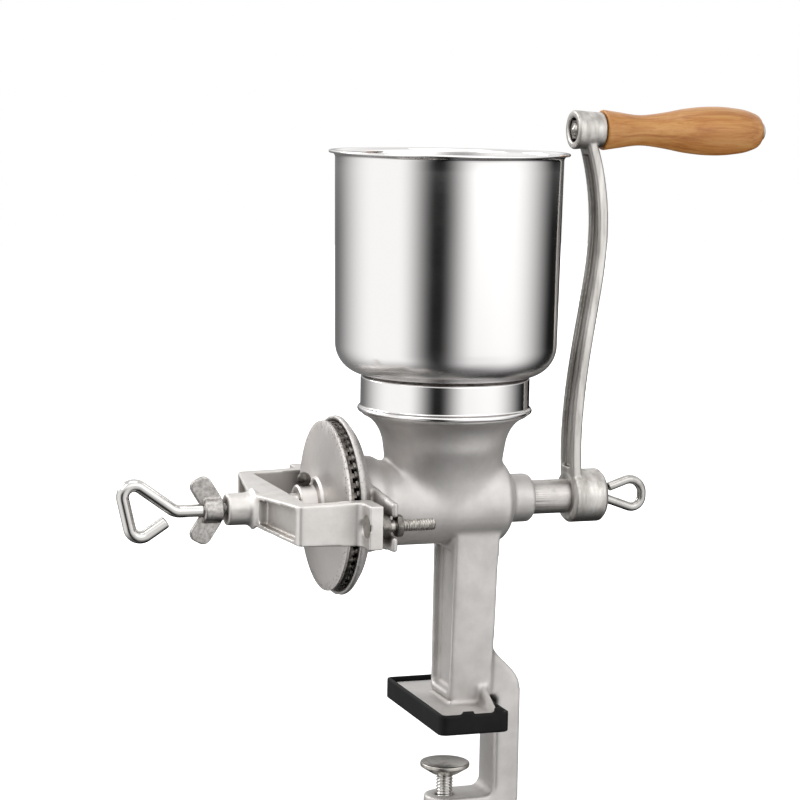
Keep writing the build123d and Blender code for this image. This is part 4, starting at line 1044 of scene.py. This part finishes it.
# ---- studio ---------------------------------------------------------------------------------
@dataclass
class Studio:
    """A white studio: floor, soft lamps, a dome that only reflections see, and the camera."""

    eye: tuple[float, float, float] = (-517.4, -1407.1, 387.8)
    heading_deg: float = -19.17
    pitch_deg: float = -7.45
    roll_deg: float = 1.05
    lens: float = 113.8
    floor_z: float = -151.6
    floor_size: float = 12000.0
    world_level: float = 0.5
    dome_level: float = 1.22
    dome_r: float = 1.9  # metres
    above_level: float = 0.78  # how bright the dome is right above, as a share
    above_deg: tuple[float, float] = (20.0, 60.0)  # where that shade starts and where it is full
    below_level: float = 0.14  # and right below
    below_deg: tuple[float, float] = (-64.0, -17.0)
    flags_end_deg: tuple[float, float] = (6.0, 30.0)  # over these elevations the flags fade away
    # brighter or dimmer patches: azimuth and elevation of the middle, reach either way in degrees, gain
    patches: tuple[tuple[float, ...], ...] = ((36.0, 30.0, 36.0, 22.0, 1.1), (30.0, -8.0, 26.0, 22.0, -0.15))
    # dark flags on the dome: middle and half width in degrees from the camera's side, soft edge, depth
    flags: tuple[tuple[float, ...], ...] = ((-9.5, 2.0, 40.0, 0.985), (150.0, 18.0, 65.0, 0.99),
                                            (-165.0, 12.0, 75.0, 0.85))
    floor_reach: tuple[float, float] = (0.35, 1.1)  # metres from the middle, over which the floor brightens
    floor_level: tuple[float, float] = (0.42, 1.2)
    # soft lamps: name, azimuth and elevation in degrees, distance and side in metres, watts, seen in gloss
    lamps: tuple[tuple[str, float, float, float, float, float, bool], ...] = (
        ("key", -48, 42, 1.6, 0.9, 4.0, True), ("side", -112, 28, 1.7, 0.8, 10.0, True),
        ("top", 10, 82, 1.5, 1.0, 4.5, True), ("fill", 42, 8, 1.7, 0.8, 5.0, False))

    def camera(self) -> None:
        """Places the camera: fwd and right from heading and pitch, then both turned by the roll."""
        heading, pitch, roll = (math.radians(a) for a in (self.heading_deg, self.pitch_deg, self.roll_deg))
        fwd = Vector((-math.sin(heading) * math.cos(pitch), math.cos(heading) * math.cos(pitch),
                      math.sin(pitch)))
        right = Vector((math.cos(heading), math.sin(heading), 0.0))
        up = right.cross(fwd)
        lean, sway = math.cos(roll), math.sin(roll)
        right, up = right * lean + up * sway, up * lean - right * sway
        data = bpy.data.cameras.new("camera")
        data.lens = self.lens
        data.sensor_width = 36.0
        data.clip_end = 50.0
        camera = put_in_scene("camera", data)
        turn = Matrix((right, up, -fwd)).transposed().to_4x4()
        camera.matrix_world = Matrix.Translation(Vector(self.eye) * MM) @ turn
        bpy.context.scene.camera = camera

    def floor(self) -> None:
        """Lays the floor: white to the camera and unseen in gloss, with the object's shadow kept."""
        half = self.floor_size / 2
        corners = np.array([(-half, -half, self.floor_z), (half, -half, self.floor_z),
                            (half, half, self.floor_z), (-half, half, self.floor_z)])
        floor = make_object("floor", corners, [np.array([[0, 1, 2, 3]])])
        material, add = new_material("paper_matt_white")
        seen = add("LightPath")
        matt = add("BsdfDiffuse", {"Color": linear("#E6E6E6")})
        place = add("TexCoord").outputs["Object"]
        away = add("VectorMath", {0: place}, operation="LENGTH")
        level = add("MapRange", {"Value": away.outputs["Value"]},
                    span=(*self.floor_reach, *self.floor_level))
        lift = add("Emission", {"Color": linear("#FFFFFF"), "Strength": level})
        bright = add("AddShader", {0: matt, 1: lift})
        shown = add("MixShader", {0: seen.outputs["Is Camera Ray"], 1: matt, 2: bright})
        unseen = add("BsdfTransparent")
        skin = add("MixShader", {0: seen.outputs["Is Glossy Ray"], 1: shown, 2: unseen})
        add("OutputMaterial", {"Surface": skin})
        floor.data.materials.append(material)

    def world(self) -> None:
        """Lights the world: white to the camera and in gloss, softer for matt surfaces."""
        world = bpy.data.worlds.new("studio")
        world.use_nodes = True
        bpy.context.scene.world = world
        world.node_tree.nodes.clear()
        add = partial(add_node, world.node_tree)
        seen = add("LightPath")
        direct = add("Math", {0: seen.outputs["Is Camera Ray"], 1: seen.outputs["Is Glossy Ray"]},
                     operation="MAXIMUM")
        clear = add("Math", {0: direct, 1: seen.outputs["Is Transmission Ray"]}, operation="MAXIMUM")
        level = add("MapRange", {"Value": clear, "To Min": self.world_level, "To Max": 1.0})
        sky = add("Background", {"Color": linear("#FFFFFF"), "Strength": level})
        add("OutputWorld", {"Surface": sky})

    def lamp(self, name: str, azimuth: float, elevation: float, distance: float, size: float,
             watts: float, glossy: bool) -> None:
        """Adds a soft square lamp that looks at the object.

        Args:
            name: Its name.
            azimuth: Degrees from the camera's side, positive to the right of the picture.
            elevation: Degrees over the horizon.
            distance: Metres from the object's middle.
            size: Side in metres.
            watts: Its power.
            glossy: False where only matt surfaces see it, so that no mirror shows its square.
        """
        data = bpy.data.lights.new(name, "AREA")
        data.size = size
        data.energy = watts
        lamp = put_in_scene(name, data)
        target = Vector((0.0, 0.0, 0.15))
        lamp.location = target + Vector(self.around(azimuth, elevation, distance))
        lamp.visible_glossy = glossy
        lamp.rotation_euler = (target - lamp.location).to_track_quat("-Z", "Y").to_euler()

    def around(self, azimuth: Array | float, elevation: Array | float, distance: float) -> Array:
        """Places round the object, by degrees from the camera's side, height and distance."""
        base, rise = math.atan2(self.eye[1], self.eye[0]) + np.radians(azimuth), np.radians(elevation)
        level = np.cos(rise)
        axes = np.broadcast_arrays(np.cos(base) * level, np.sin(base) * level, np.sin(rise))
        return distance * np.stack(axes, axis=-1)

    def dome(self) -> None:
        """Puts a dome round the object that only reflections see: soft dark flags, and shade below.

        A flag's darkness falls from its depth to 0 over its soft edge as half a cosine wave.
        """
        azimuth = np.linspace(-180.0, 180.0, 241)
        elevation = np.linspace(-89.0, 89.0, 90)
        dark = np.zeros_like(azimuth)
        for middle, half, edge, depth in self.flags:
            away = np.abs((azimuth - middle + 180.0) % 360.0 - 180.0)
            fall = np.clip((away - half) / edge, 0.0, 1.0)
            dark = np.maximum(dark, depth * (0.5 + 0.5 * np.cos(np.pi * fall)))
        flag_share = 1 - np.clip((elevation - self.flags_end_deg[0]) / np.ptp(self.flags_end_deg), 0.0, 1.0)
        rise = np.clip((elevation - self.below_deg[0]) / np.ptp(self.below_deg), 0.0, 1.0)
        shade = self.below_level + (1 - self.below_level) * (0.5 - 0.5 * np.cos(np.pi * rise))
        climb = np.clip((elevation - self.above_deg[0]) / np.ptp(self.above_deg), 0.0, 1.0)
        shade = shade * (1 - (1 - self.above_level) * climb)
        level = self.dome_level * shade[:, None] * (1 - flag_share[:, None] * dark[None, :])
        for middle, height, reach, rise_reach, gain in self.patches:
            aside = (azimuth[None, :] - middle) / reach
            above = (elevation[:, None] - height) / rise_reach
            level = level * (1 + gain * np.exp(-(aside ** 2 + above ** 2)))
        points = self.around(azimuth[None, :], elevation[:, None], self.dome_r).reshape(-1, 3)
        columns = len(azimuth)
        corner = (np.arange(len(elevation) - 1)[:, None] * columns + np.arange(columns - 1)[None, :]).ravel()
        quads = np.stack([corner, corner + 1, corner + 1 + columns, corner + columns], axis=1)
        mesh = bpy.data.meshes.new("dome")
        mesh.from_pydata(points.tolist(), [], quads.tolist())
        glow = mesh.color_attributes.new("glow", "FLOAT_COLOR", "POINT")
        flat = level.ravel()
        glow.data.foreach_set("color", np.stack([flat, flat, flat, np.ones_like(flat)], axis=1).ravel())
        material, add = new_material("dome_paint")
        painted = add("Attribute", attribute_name="glow")
        paint = add("Emission", {"Color": painted.outputs["Color"]})
        add("OutputMaterial", {"Surface": paint})
        mesh.materials.append(material)
        dome = put_in_scene("dome", mesh)
        dome.visible_camera = False
        dome.visible_diffuse = False
        dome.visible_shadow = False

    def build(self) -> None:
        """Builds the whole studio."""
        self.camera()
        self.floor()
        self.world()
        for lamp in self.lamps:
            self.lamp(*lamp)
        self.dome()
        bpy.context.scene.view_settings.view_transform = "Standard"


def main() -> None:
    """Builds every sub-assembly and the studio."""
    logging.basicConfig(level=logging.INFO, format="%(name)s: %(message)s")
    for assembly in (Casting(), Hopper(), GrindingPlates(), Yoke(), Screws(), Crank(), Grip()):
        assembly.build()
    Studio().build()


if __name__ == "__main__":
    main()
